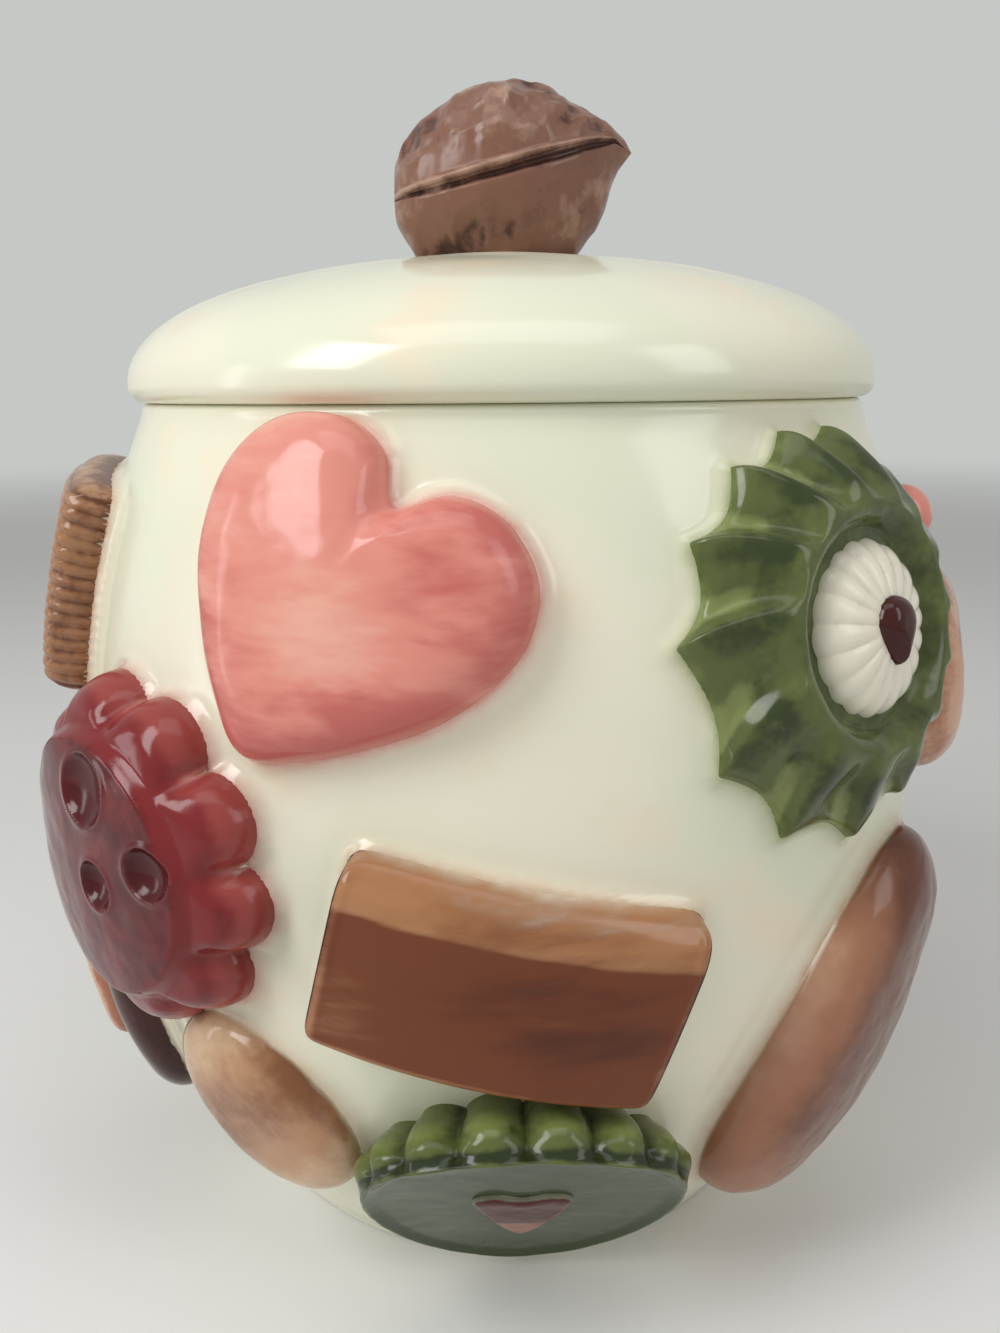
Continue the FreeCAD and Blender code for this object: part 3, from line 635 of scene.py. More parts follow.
def wreath(place):
    columns, rings = 840, 120
    angle = angles(columns)
    share = 1 - (1 - WREATH_HOLLOW_SHARE + 0.03) * np.linspace(0, 1, rings)[:, None] ** 1.5
    outer = unit((share - WREATH_CREST_SHARE) / (1 - WREATH_CREST_SHARE))
    phase = wreath_phase(angle) - WREATH_TWIST * (1 - outer) ** 0.8
    scallop = blurred(np.abs(np.sin(math.pi * (phase % 1.0) ** 0.9)) ** 0.85, 7)
    wave = blurred(flute_wave(phase), 25)
    radius = WREATH_RADIUS * share - WREATH_NOTCH * scallop * outer ** 1.5
    radius = radius * (1 - 0.06 * ramp(0.2, 0.9, np.cos(angle)) * outer)
    radius = radius * (1 + 0.055 * ramp(0.45, 0.95, -np.sin(angle)) * outer)
    slope = 0.5 + 0.5 * np.cos(math.pi * outer ** 0.75)
    rise = (4.4 + 6.4 * slope) * (1 - outer ** 9) ** 0.6
    rise = rise + 3.4 * (wave - 0.55) * np.sin(math.pi * outer ** 0.9) ** 0.8
    inner = unit((share - WREATH_HOLLOW_SHARE) / (WREATH_CREST_SHARE - WREATH_HOLLOW_SHARE))
    rise = np.where(share >= WREATH_CREST_SHARE, rise, 6.4 + 4.4 * np.sin(math.pi / 2 * inner) ** 0.8)
    x, y = polar(radius, angle)
    points = place.raised(x, y, rise)
    points = place.uneven(points, 0.55 * ramp(1, 4, rise), 12.0)
    valley = ramp(0.55, 0.1, wave) * ramp(0.25, 0.7, outer)
    crest = ramp(0.6, 0.95, wave) * ramp(0.05, 0.4, outer) * ramp(1.0, 0.75, outer)
    masks = {"deep": unit(0.55 * crest + 0.35 * ramp(0.62, 0.48, share)
                             + 0.5 * bell(outer, 0.35, 0.25)),
             "pale": unit(0.9 * valley + 0.5 * ramp(0.85, 1, outer) + 0.25 * (1 - outer)),
             "accent": 0.0, "edge": 1 - ramp(0.4, 1.4, rise)}
    wall_piece("wreath_biscuit", "green_glaze", place, points, x, y, masks, WREATH_GLAZE,
               x[0][::4], y[0][::4], 0.8, 4.0, (150, 158, 104))


def button(node, place, low):
    """Fluted icing dome in the middle of a ring, low millimetres above the touching plane."""
    columns, rings = BUTTON_FLUTES * 20, 70
    turn = turns(columns)
    share = share_rings(rings)[:, None]
    angle = 2 * math.pi * turn
    wave = np.abs(np.cos(angle * BUTTON_FLUTES / 2 + 0.25 * np.sin(3 * angle)))
    radius = (BUTTON_RADIUS - 0.6 * (1 - wave)) * share
    rise = 6.4 * (1 - share ** 2.6) ** 0.5
    creases = -0.34 * (1 - wave) ** 1.3 * np.sin(math.pi * unit((share - 0.30) / 0.70)) ** 0.6
    rise = rise + creases
    x, y = polar(radius, angle)
    points = place.flat(x, y, low + rise)
    points = place.uneven(points, 0.2 * ramp(0, 2, rise), 6.0)
    mesh_piece(node, points, "jar", ICING_GLAZE,
               {"deep": unit(-creases * 1.1 + 0.5 * ramp(0.42, 0.28, share))})


TOPPING_RINGS = 50
TOPPING_COLUMNS = 240


def topping(node, place, outline, low, thickness, width, material, masks_for=None):
    """Small relief that sits on the flat top of another one."""
    turn = turns(TOPPING_COLUMNS)
    share = share_rings(TOPPING_RINGS)[:, None]
    edge_x, edge_y = outline(turn)
    x, y = share * edge_x, share * edge_y
    depth = depth_inside(x, y, edge_x[0], edge_y[0])
    depth[0] = 0.0
    rise = thickness * shoulder(depth, width)
    points = place.flat(x, y, low + rise)
    points = place.uneven(points, 0.15 * ramp(0, 1, depth), 4.0)
    masks = {"deep": 0.0, "pale": 0.0, "accent": 0.0, "edge": 0.0}
    if masks_for:
        masks.update(masks_for(x, y, share, depth, rise))
    mesh_piece(node, points, "jar", material, masks)


# Flower biscuit: ten petals round a raised disc with three dents

FLOWER_DENTS = ((2.4, 15.2, 6.4), (18.4, 4.6, 4.8), (4.4, -1.6, 4.5))
FLOWER_RADIUS = 34.5
FLOWER_DISC_RADIUS = 24.2


def flower(node, place, phase, dents):
    def lobe_at(angle):
        return np.abs(np.cos((angle - phase) * 5 + 0.25 * np.sin(2 * angle)))

    def outline(turn):
        angle = 2 * math.pi * turn
        radius = FLOWER_RADIUS - 5.4 * (1 - lobe_at(angle) ** 0.6)
        return polar(radius, angle)

    def dent_at(x, y):
        hole, rim = 0.0, 0.0
        for dent_x, dent_y, dent_radius in dents:
            distance = np.hypot(x - dent_x, y - dent_y) / dent_radius
            hole = np.maximum(hole, unit(1 - distance ** 2) ** 0.7)
            rim = np.maximum(rim, bell(distance, 1.02, 0.16))
        return hole, rim

    def rise_for(x, y, share, depth):
        radius = np.hypot(x, y)
        hole, rim = dent_at(x, y)
        groove = 1.6 * ramp(0.45, 0.0, lobe_at(np.arctan2(y, x))) * ramp(24, 30, radius)
        petals = (11.0 - 2.2 * ramp(FLOWER_DISC_RADIUS, FLOWER_RADIUS, radius)) * shoulder(depth, 6.0, 2.0)
        petals = petals - groove * ramp(0, 3, depth)
        crown = 3.0 - 0.8 * np.minimum(radius / FLOWER_DISC_RADIUS, 1) ** 4
        disc = crown * ramp(FLOWER_DISC_RADIUS + 1.2, FLOWER_DISC_RADIUS - 1.2, radius)
        return petals + disc - 2.6 * hole + 0.3 * rim

    def masks(x, y, share, depth, rise):
        radius = np.hypot(x, y)
        lobe = lobe_at(np.arctan2(y, x))
        hole, rim = dent_at(x, y)
        disc = ramp(FLOWER_DISC_RADIUS + 1, FLOWER_DISC_RADIUS - 2, radius)
        web = ramp(0.35, 0.02, lobe) * ramp(25, 30, radius)
        # Painted shade darkens the dents and the outer petals below the middle; the lighter ring round each
        # dent is painted light
        return {"deep": unit(disc * 0.7 + 0.6 * hole + 0.35 * ramp(26, 30, radius) * (y < 0)),
                "pale": unit(0.75 * ramp(5, 1, depth) + 0.3 * ramp(27, 33, radius)) * (1 - disc),
                "accent": unit(0.35 * rim + 0.6 * web)}
    relief(node, "maroon_glaze", place, outline, rise_for, masks, FLOWER_GLAZE, bleed=(190, 130, 120),
           rings=130, columns=600, wobble=0.4, pool=0.9, pool_reach=4.0)


# Plain biscuits

def sprayed(node, slot, place, outline, thickness, width, material, spray_and_shade, bleed, **more):
    """Plain rounded biscuit with sprayed colour, strongest where the mask is 1; on the finger and the oval
    the mask also holds painted shade and painted light.
    """
    def masks(x, y, share, depth, rise):
        strength, light = spray_and_shade(x, y, share, depth)
        return {"deep": unit(strength), "pale": unit(light),
                "edge": 1 - ramp(0.5, 2.6, rise)}
    relief(node, slot, place, outline, puffy(thickness, width), masks, material, bleed=bleed, **more)


FINGER_SHAPE = (42.0, 25.0, 2.3)
FINGER_THICKNESS = 11.0
FINGER_SIDE = 15.0
OVAL_SHAPE = (22.4, 18.6)
OVAL_THICKNESS = 7.0
OVAL_SIDE = 9.0
ROUND_SHAPE = (24.0, 24.0)
ROUND_THICKNESS = 10.3
ROUND_SIDE = 11.0
DROP_SHAPE = (6.6, 6.6)
DROP_THICKNESS = 7.0
DROP_SIDE = 6.4
CHOCOLATE_SHAPE = (33.7, 21.5, 2.3)
CHOCOLATE_THICKNESS = 9.4
CHOCOLATE_SIDE = 9.0
CHOCOLATE_LOW = 8.0
CRESCENT_SHAPE = (18.0, 7.6)
CRESCENT_THICKNESS = 4.8
CRESCENT_SIDE = 5.4


def finger(place):
    def spray_and_shade(x, y, share, depth):
        upper = ramp(14, 34, y)
        # Painted shade: the deep mask darkens the right side; the rest of the mask is sprayed colour
        right = ramp(-25, -9, x) * ramp(-44, -14, y)
        left_edge = ramp(-16, -25, x)
        return 0.2 * upper + 0.75 * right, 0.5 * left_edge * (1 - upper) + 0.35 * ramp(-24, -42, y)
    sprayed("finger_biscuit", "finger_glaze", place,
            oval_shape(*FINGER_SHAPE), FINGER_THICKNESS, FINGER_SIDE, FINGER_GLAZE, spray_and_shade,
            (190, 148, 120), wobble=0.6, pool=0.8)


def oval(node, place):
    def spray_and_shade(x, y, share, depth):
        # Sprayed tan, with painted shade in the darker middle band and painted light on the paler ends
        return 0.7 * bell(y, -2, 9) + 0.3 * ramp(5, 1, depth), 0.7 * ramp(6, 16, np.abs(y))
    sprayed(node, "tan_glaze", place, oval_shape(*OVAL_SHAPE), OVAL_THICKNESS, OVAL_SIDE,
            OVAL_GLAZE, spray_and_shade, (206, 176, 146), wobble=0.35, pool=0.7)


def round_biscuit(place):
    def spray_and_shade(x, y, share, depth):
        return 0.6 * ramp(6, 1, depth) + 0.4 * ramp(-6, 14, y), 0.6 * ramp(0.6, 0.2, share)
    sprayed("round_biscuit", "tan_glaze", place,
            oval_shape(*ROUND_SHAPE), ROUND_THICKNESS, ROUND_SIDE, ROUND_GLAZE, spray_and_shade,
            (214, 178, 156), wobble=0.35)


def sugar_drop(place):
    def spray_and_shade(x, y, share, depth):
        return 0.4 * ramp(3, 0, depth), 0.5 * ramp(0.6, 0.1, share)
    sprayed("sugar_drop", "pink_glaze", place,
            oval_shape(*DROP_SHAPE), DROP_THICKNESS, DROP_SIDE, HEART_GLAZE, spray_and_shade,
            (220, 150, 146), rings=50, columns=160, wobble=0.1, pool=0.5, pool_reach=3.0)


def chocolate(place):
    def spray_and_shade(x, y, share, depth):
        return 0.5 * ramp(8, 1, depth), 0.2 * ramp(0.5, 0.1, share)
    sprayed("chocolate_biscuit", "chocolate_glaze", place,
            oval_shape(*CHOCOLATE_SHAPE), CHOCOLATE_THICKNESS, CHOCOLATE_SIDE, CHOCOLATE_GLAZE, spray_and_shade,
            (150, 110, 90), pool=0.8)
    topping("nut_crescent", place,
            oval_shape(*CRESCENT_SHAPE), CHOCOLATE_LOW, CRESCENT_THICKNESS, CRESCENT_SIDE, ROUND_GLAZE,
            lambda x, y, share, depth, rise: {"deep": ramp(3, 0.5, depth)})


RIDGE_COUNT = 17
RIDGED_HALF_LENGTH = 22.5


def ridge_at(y):
    return np.abs(np.cos(math.pi / 2 * RIDGE_COUNT * y / RIDGED_HALF_LENGTH)) ** 0.7


def ridged(place):
    def rise_for(x, y, share, depth):
        return 10.0 * shoulder(depth, 5.5, 2.4) + 0.9 * (ridge_at(y) - 0.6) * ramp(0.5, 4, depth)

    def outline(turn):
        x, y = outline_oval(RIDGED_HALF_LENGTH, 21.5, 8.0, turn)
        return x * (1 - 0.03 * (1 - ridge_at(y))), y

    def masks(x, y, share, depth, rise):
        ridge = ridge_at(y)
        ends = ramp(16, 22, np.abs(y))
        return {"deep": unit(0.5 * (1 - ridge) + 0.3 * ramp(5, 1, depth) + 0.4 * ends * (1 - ridge)),
                "pale": unit(0.4 * ridge * ramp(3, 9, depth) + 0.5 * ends * ridge)}
    relief("ridged_biscuit", "ridge_glaze", place, outline, rise_for, masks,
           RIDGE_GLAZE, bleed=(190, 140, 110), rings=110, columns=960, wobble=0.3)


def ring_biscuit(place):
    ring_radius, crest_share, crest_rise = 31.0, 0.68, 10.2
    hollow_share = (BUTTON_RADIUS + 0.5) / ring_radius
    columns, rings = 360, 90
    turn = turns(columns)
    share = 1 - (1 - hollow_share + 0.04) * np.linspace(0, 1, rings)[:, None] ** 1.5
    angle = 2 * math.pi * turn
    outer = unit((share - crest_share) / (1 - crest_share))
    inner = unit((crest_share - share) / (crest_share - hollow_share))
    outside, inside = crest_rise * (1 - outer ** 2.4) ** 0.5, crest_rise - 4.2 * np.sin(math.pi / 2 * inner)
    rise = np.where(share > crest_share, outside, inside)
    x, y = polar(ring_radius * share, angle)
    points = place.raised(x, y, rise)
    points = place.uneven(points, 0.35 * ramp(1, 4, rise), 8.0)
    masks = {"deep": 0.6 * outer + 0.3 * inner, "pale": 0.7 * bell(share, crest_share, 0.1),
             "accent": 0.0, "edge": 1 - ramp(0.4, 2.0, rise)}
    wall_piece("back_ring_biscuit", "finger_glaze", place, points, x, y, masks, FINGER_GLAZE,
               x[0][::2], y[0][::2], 0.9, 5.0, (190, 148, 120))


# Jam tart: a fluted case that flares towards a flat dished face and leans into the wall

TART_RADIUS = 31.6
TART_AZIMUTH = 1.6
TART_SLOPE = 33.3
TART_HEIGHT_SHARE = 0.170
TART_FACE_GAP = 4.8
TART_SMOOTHING = 6
TART_RINGS = 120
# radius, level and flute depth down the case's side and across its face
TART_STATIONS = ((26.5, -24.0, 2.6), (27.0, -14.0, 3.0), (28.8, -11.0, 3.4), (30.8, -8.6, 3.6),
                 (31.7, -6.0, 3.4), (31.5, -3.8, 2.8), (30.7, -2.2, 1.8), (30.3, -1.0, 0.7),
                 (30.2, -0.2, 0.2), (29.4, 0.0, 0.0), (28.4, -0.5, 0.0), (27.0, -1.1, 0.0),
                 (22.0, -1.5, 0.0), (14.0, -1.6, 0.0), (6.0, -1.6, 0.0), (0.4, -1.6, 0.0))
TART_FLUTES = 16
TART_DISH = 1.6
TART_SIDE_LIFT = 9.0
CHERRY_HALF = ((0.0, 5.6), (5.4, 7.4), (9.6, 4.6), (6.8, -5.5), (0.0, -15.5))


class TartPlace(Place):
    """The tart's face: tipped down, just in front of the wall."""

    def __init__(self):
        slope, angle = math.radians(TART_SLOPE), math.radians(TART_AZIMUTH)
        height = TART_HEIGHT_SHARE * SEAT_HEIGHT
        front = np.array([math.sin(angle), -math.cos(angle), 0.0])
        axis = np.array([0.0, 0.0, 1.0])
        self.origin = front * (float(wall_radius(height)) + TART_FACE_GAP) + axis * height
        self.outward = front * math.cos(slope) - axis * math.sin(slope)
        self.right = np.array([math.cos(angle), math.sin(angle), 0.0])
        self.up = np.cross(self.outward, self.right)


def tart(place):
    columns = TART_FLUTES * 30
    angle = angles(columns)
    wave = np.abs(np.sin(angle * TART_FLUTES / 2 + 0.35 * np.sin(2 * angle))) ** 0.75
    count = len(TART_STATIONS)
    steps = np.linspace(0, count - 1, TART_RINGS)
    columns_of = zip(*TART_STATIONS)
    sampled = np.stack([np.interp(steps, np.arange(count), values) for values in columns_of], axis=-1)
    for smoothing in range(TART_SMOOTHING):
        sampled[1:-1] = 0.25 * sampled[:-2] + 0.5 * sampled[1:-1] + 0.25 * sampled[2:]
    reach, height, flute = sampled[:, 0:1], sampled[:, 1:2], sampled[:, 2:3]
    radius = reach - flute * (1 - wave)
    side = ramp(27.0, 31.0, reach) * ramp(-14.0, -4.0, height)
    upper = ramp(0.2, 0.9, np.sin(angle))
    level = height + 0.7 * upper * side * (0.4 + 0.6 * wave)
    x = radius * np.cos(angle)
    opening = ramp(-15.0, -3.0, height) * unit(reach / TART_RADIUS)
    y = radius * np.sin(angle) + TART_SIDE_LIFT * np.cos(angle) ** 2 * opening
    points = place.flat(x, y, level)
    points = place.uneven(points, 0.2, 8.0)
    # Painted shade darkens the flute grooves and the line along the rim, painted light brightens the flutes'
    # bulges, and the accent gives the downturned face painted shade and reflection
    face = np.broadcast_to(ramp(30.6, 28.4, reach) * (height > -2.5), radius.shape)
    groove = (1 - wave) * (1 - face)
    rim = bell(height, -1.6, 1.1) * (reach > 29.8)
    bulge = bell(height, -6.5, 2.6)
    masks = {"deep": unit(0.7 * groove + 1.0 * rim), "pale": unit(0.8 * wave * bulge) * (1 - face),
             "accent": 1.2 * face, "edge": 0.0}
    mesh_piece("jam_tart_case", points, "jar", TART_GLAZE, masks)
    topping("jam_tart_cherry", place,
            mirrored_shape(CHERRY_HALF), -TART_DISH, 1.3, 2.2, CHERRY_GLAZE,
            lambda x, y, share, depth, rise: {"pale": 0.9 * ramp(-3.0, -9.0, y),
                                                    "edge": 0.8 * ramp(1.0, 0.2, depth)})


# Revolved bodies. Flat stretches need few points, the lid's glazed face needs more.

COARSE_SPACING = 4.0
FINE_SPACING = 1.2
AXIS_GAP = 0.5
RECESS_ROUNDING = 1.4
FOOT_EDGE = 0.8
FLANGE_ROUNDING = 1.5
BLEED_REACH = 1.3
BLEED_STRENGTH = 0.75
POOL_SEARCH = 22.0

def arc(centre, radius, start, end, count=8):
    angles = np.radians(np.linspace(start, end, count))
    return [(centre[0] + radius * math.cos(a), centre[1] + radius * math.sin(a)) for a in angles]


def resampled(profile, spacing):
    """The profile with points no further apart than the spacing."""
    result = [profile[0]]
    for start, end in zip(profile, profile[1:]):
        count = max(1, int(math.ceil(math.dist(start, end) / spacing)))
        result += [(start[0] + (end[0] - start[0]) * i / count, start[1] + (end[1] - start[1]) * i / count)
                   for i in range(1, count + 1)]
    return result


def revolved(profile, columns):
    angle = angles(columns)
    section = np.array(profile)
    radius, height = section[:, 0:1], section[:, 1:2]
    return np.stack(np.broadcast_arrays(*polar(radius, angle), height), axis=-1)


def outline_distance(place, outline_x, outline_y, points):
    """Distance outside a relief's outline, or below nought inside it."""
    x, y = place.local(points)
    distance = depth_inside(x, y, outline_x, outline_y)
    around = np.unwrap(np.arctan2(outline_y, outline_x))
    order = np.argsort(around % (2 * math.pi))
    reach = np.interp(np.arctan2(y, x) % (2 * math.pi), (around % (2 * math.pi))[order],
                      np.hypot(outline_x, outline_y)[order], period=2 * math.pi)
    return np.where(np.hypot(x, y) < reach, -distance, distance)


def jar_skin():
    """The jar's wall with the glaze that pools round each relief."""
    recess_radius = FOOT_RADIUS - FOOT_RING_WIDTH
    heights = np.linspace(FOOT_ROUNDING, SEAT_HEIGHT - LIP_ROUNDING, JAR_WALL_RINGS)
    wall = [(float(wall_radius(h)), float(h)) for h in heights]
    inner_low = FLOOR_RISE + WALL
    inner = []
    for height in np.linspace(SEAT_HEIGHT - 2 * WALL, inner_low, 60):
        point = np.array([float(wall_radius(height)), 0.0, height])
        moved = point - wall_normal(point) * WALL
        inner.append((float(moved[0]), float(moved[2])))
    floor_radius = inner[-1][0]
    bottom = [(AXIS_GAP, FOOT_RECESS), (recess_radius - 2.0, FOOT_RECESS)] \
        + arc((recess_radius - 2.0, FOOT_RECESS - RECESS_ROUNDING), RECESS_ROUNDING, 90, 0) \
        + arc((recess_radius + 0.6, FOOT_EDGE), FOOT_EDGE, 180, 270) \
        + arc((wall[0][0] - FOOT_ROUNDING, FOOT_ROUNDING), FOOT_ROUNDING, 270, 350)
    bottom = [(r, max(z, 0.0)) for r, z in bottom]
    lip_centre = wall[-1][0] - LIP_ROUNDING
    rim = arc((lip_centre, SEAT_HEIGHT - LIP_ROUNDING), LIP_ROUNDING, 12, 90) \
        + arc((MOUTH_RADIUS + LIP_ROUNDING, SEAT_HEIGHT - LIP_ROUNDING), LIP_ROUNDING, 90, 180)
    floor = arc((floor_radius - WALL, inner_low), WALL, 0, -90) + [(AXIS_GAP, FLOOR_RISE)]
    low = resampled(bottom, COARSE_SPACING)
    high = resampled(rim + inner + floor, COARSE_SPACING)
    points = revolved(low + wall + high, JAR_COLUMNS)
    skin = slice(len(low), len(low) + len(wall))
    shell = points[skin]
    lift = np.zeros(shell.shape[:2])
    bleed = np.zeros(shell.shape[:2])
    bleed_colour = np.zeros(shell.shape[:2] + (3,))
    for place, outline_x, outline_y, pool, reach, colour in pools:
        near = np.hypot(outline_x, outline_y).max() + POOL_SEARCH
        close = np.linalg.norm(shell - place.origin, axis=-1) < near
        close &= (wall_normal(shell) @ place.outward) > 0.2
        distance = outline_distance(place, outline_x, outline_y, shell[close])
        wander = layered_noise(shell[close], 13.0, 3.0)
        wide = reach * (1 + 0.35 * wander)
        climb = unit(1 - np.maximum(distance, 0) / wide) ** 3 * POOL_RISE * pool
        lift[close] = np.maximum(lift[close], climb)
        if colour:
            amount = np.exp(-np.maximum(distance, 0) / BLEED_REACH) * BLEED_STRENGTH
            stronger = amount > bleed[close]
            bleed[close] = np.maximum(bleed[close], amount)
            picked = bleed_colour[close]
            picked[stronger] = linear(*colour)[:3]
            bleed_colour[close] = picked
    calm = ramp(SEAT_HEIGHT, SEAT_HEIGHT - 5, shell[..., 2]) * ramp(0, 6, shell[..., 2])
    uneven = 0.35 * layered_noise(shell, 46.0, 1.0) - 0.35
    points[skin] = shell + wall_normal(shell) * ((lift + uneven) * calm)[..., None]
    full_bleed = np.zeros(points.shape[:2])
    full_bleed[skin] = bleed
    full_colour = np.ones(points.shape[:2] + (3,))
    full_colour[skin] = bleed_colour
    piece = mesh_piece("jar_body", points, "jar", CREAM_GLAZE, {"bleed": full_bleed})
    layer = piece.data.attributes.new("bleed_colour", "FLOAT_COLOR", "POINT")
    flat = np.concatenate([full_colour.reshape(-1, 3), np.ones((2, 3))])
    layer.data.foreach_set("color", np.concatenate([flat, np.ones((len(flat), 1))], axis=-1).reshape(-1))


def dome(radius, low, rise, count):
    """A dome's section from its rim up to the axis."""
    result = []
    for step in range(count):
        angle = math.pi / 2 * step / (count - 1)
        result.append((max(0.3, radius * math.cos(angle) ** (2 / LID_FULLNESS)),
                       low + rise * math.sin(angle) ** (2 / LID_FULLNESS)))
    return result


def lid_skin():
    rim_height = SEAT_HEIGHT + LID_EDGE
    outer = dome(LID_RADIUS, rim_height, LID_RISE - LID_EDGE, 160)
    pad = [point for point in outer if point[0] > PAD_RADIUS + 0.4]
    pad += [(PAD_RADIUS + 0.2, pad[-1][1] + 0.1), (PAD_RADIUS - 0.2, PAD_HEIGHT - 0.05), (0.4, PAD_HEIGHT)]
    inner = dome(FLANGE_INSIDE, SEAT_HEIGHT + 1.5 * LID_WALL, LID_RISE - 2.5 * LID_WALL, 60)
    low = SEAT_HEIGHT - FLANGE_DEPTH
    under = list(reversed(inner)) + [(FLANGE_INSIDE, low + FLANGE_ROUNDING)] \
        + arc((FLANGE_INSIDE + FLANGE_ROUNDING, low + FLANGE_ROUNDING), FLANGE_ROUNDING, 180, 270) \
        + arc((FLANGE_RADIUS - FLANGE_ROUNDING, low + FLANGE_ROUNDING), FLANGE_ROUNDING, 270, 360) \
        + [(FLANGE_RADIUS, SEAT_HEIGHT)]
    edge = arc((LID_RADIUS - LID_EDGE, rim_height), LID_EDGE, 270, 360, 14)
    underside = resampled(under, COARSE_SPACING)
    edge_start = len(underside)
    points = revolved(underside + resampled(edge[:-1] + pad, FINE_SPACING), JAR_COLUMNS)
    outside = ramp(SEAT_HEIGHT + 1.0, SEAT_HEIGHT + 6.0, points[..., 2])
    spread = np.hypot(points[..., 0], points[..., 1])
    on_face = (np.arange(len(points)) >= edge_start)[:, None]
    outside = outside * ramp(PAD_RADIUS, PAD_RADIUS + 14, spread) * on_face
    points[..., 2] += outside * (0.5 * layered_noise(points, 42.0, 4.0) - 0.35)
    mesh_piece("lid", points, "lid", CREAM_GLAZE, {"bleed": 0.0})


# Walnut knob: a pointed nut lying on its side, split along its seam

# Along the nut: place, and height of the top, of the seam and of the underside over the lid's crown
NUT_TOP = ((-23.6, 13.0), (-23.2, 21.0), (-21.3, 26.0), (-17.3, 30.2), (-10.5, 34.2), (-2.6, 37.0),
           (4.8, 37.6), (9.7, 36.9), (15.8, 34.0), (20.7, 30.7), (25.0, 28.3), (27.7, 25.4), (29.2, 22.7))
NUT_SMOOTHING = 10
NUT_BOXINESS = 0.92
NUT_LIP = 0.7
NUT_GROOVE = 1.5
NUT_GROOVE_PLACE = -0.035
NUT_SEAM = ((-23.6, 12.4), (-14.0, 13.9), (-8.5, 15.0), (0.0, 17.0), (12.0, 20.6), (20.0, 23.4), (25.0, 24.6),
            (29.2, 22.7))
NUT_UNDER = ((-23.6, 11.8), (-23.2, 8.0), (-21.0, 3.6), (-19.0, 0.0), (-15.0, -4.0), (0.0, -6.0),
             (12.0, -4.0), (17.0, 0.0), (21.9, 6.2), (23.8, 10.6), (24.6, 15.2), (26.4, 19.0), (29.2, 22.7))
NUT_PLAN = ((-23.6, 0.4), (-23.2, 6.0), (-21.3, 10.0), (-18.0, 13.6), (-12.0, 16.8), (-4.0, 18.5),
            (4.0, 18.3), (11.0, 16.4), (17.0, 13.0), (21.0, 9.6), (24.0, 6.4), (27.0, 2.8), (29.2, 0.3))


def along_nut(profile, x):
    places, values = np.array(profile).T
    curve = np.interp(x[:, 0], places, values)
    for smoothing in range(NUT_SMOOTHING):
        curve[1:-1] = 0.25 * curve[:-2] + 0.5 * curve[1:-1] + 0.25 * curve[2:]
    return curve[:, None]


def walnut_half(node, first_angle, last_angle):
    """Half of the nut between two angles round its length, closed by its seam plane."""
    columns, rings = 220, 260
    low, high = NUT_SEAM[0][0], NUT_SEAM[-1][0]
    swing = np.linspace(0, math.pi, rings)[:, None]
    x = (low + high) / 2 - (high - low) / 2 * np.cos(swing)
    seam_height, plan = along_nut(NUT_SEAM, x), along_nut(NUT_PLAN, x)
    upper = first_angle < 90
    reach = along_nut(NUT_TOP, x) - seam_height if upper else seam_height - along_nut(NUT_UNDER, x)
    angle = np.radians(np.linspace(first_angle, last_angle, columns))[None, :]
    seam = np.sin(angle)
    side = np.copysign(np.abs(np.cos(angle)) ** NUT_BOXINESS, np.cos(angle))
    up = np.copysign(np.abs(seam) ** NUT_BOXINESS, seam)
    plain = np.stack(np.broadcast_arrays(x, side * plan, up * reach), axis=-1)
    lobes = layered_noise(plain * np.array([1.25, 0.8, 0.7]), 9.0, 2.0)
    ridges = 1 - 3.2 * np.abs(soft_noise(plain * np.array([1.1, 0.7, 0.6]), 7.5, 7.0))
    veins = 1 - 3.0 * np.abs(soft_noise(plain, 3.8, 11.0))
    away = unit(2.6 * np.abs(seam) - 0.15)
    strength = 1.0 if upper else 0.6
    wrinkles = 1.4 * lobes + 0.7 * np.clip(ridges, -1, 1) + 0.15 * np.clip(veins, -1, 1) - 0.9
    detail = away * strength * wrinkles
    lip = NUT_LIP * bell(seam, 0.035, 0.03)
    groove = -NUT_GROOVE * bell(seam, NUT_GROOVE_PLACE, 0.028)
    extra = (detail + lip + groove) * ramp(0.5, 9.0, plan)
    tilt = np.gradient(seam_height[:, 0], x[:, 0])[:, None]
    y = side * (plan + extra)
    rise = up * (reach + extra)
    world_z = PAD_HEIGHT + np.maximum(seam_height + rise, 0)
    points = np.stack(np.broadcast_arrays(x - 0.35 * tilt * extra * up, y, world_z), axis=-1)
    dark_seam = bell(seam, NUT_GROOVE_PLACE, 0.035)
    hollow = ramp(0.05, -0.5, lobes) * away
    crest = ramp(0.3, 0.95, ridges) * away
    masks = {"deep": unit(0.8 * hollow + 1.2 * dark_seam - 0.4 * crest),
             "pale": unit(0.7 * bell(seam, 0.04, 0.035) + 0.3 * crest
                             + 0.4 * ramp(0.1, 0.6, lobes)), "accent": 0.0, "edge": 0.0}
    mesh_piece(node, points, "lid", WALNUT_GLAZE, masks)


# Surroundings. Lamps: azimuth, elevation, then distance, width and height in metres, and power.

BACKGROUND = (0.56, 0.58, 0.56, 1)
AMBIENT = 0.34
FLOOR_COLOUR = (0.80, 0.80, 0.79, 1)
FLOOR_REACH = 6.0
LAMP_TARGET = (0.0, 0.0, 0.11)
LAMPS = {"key": (-52, 40, 0.95, 0.32, 0.55, 4.6), "strip": (-78, 8, 0.9, 0.10, 0.6, 0.7),
         "fill": (56, 30, 1.1, 0.35, 0.7, 2.2), "top": (0, 74, 0.9, 0.7, 0.45, 1.6)}


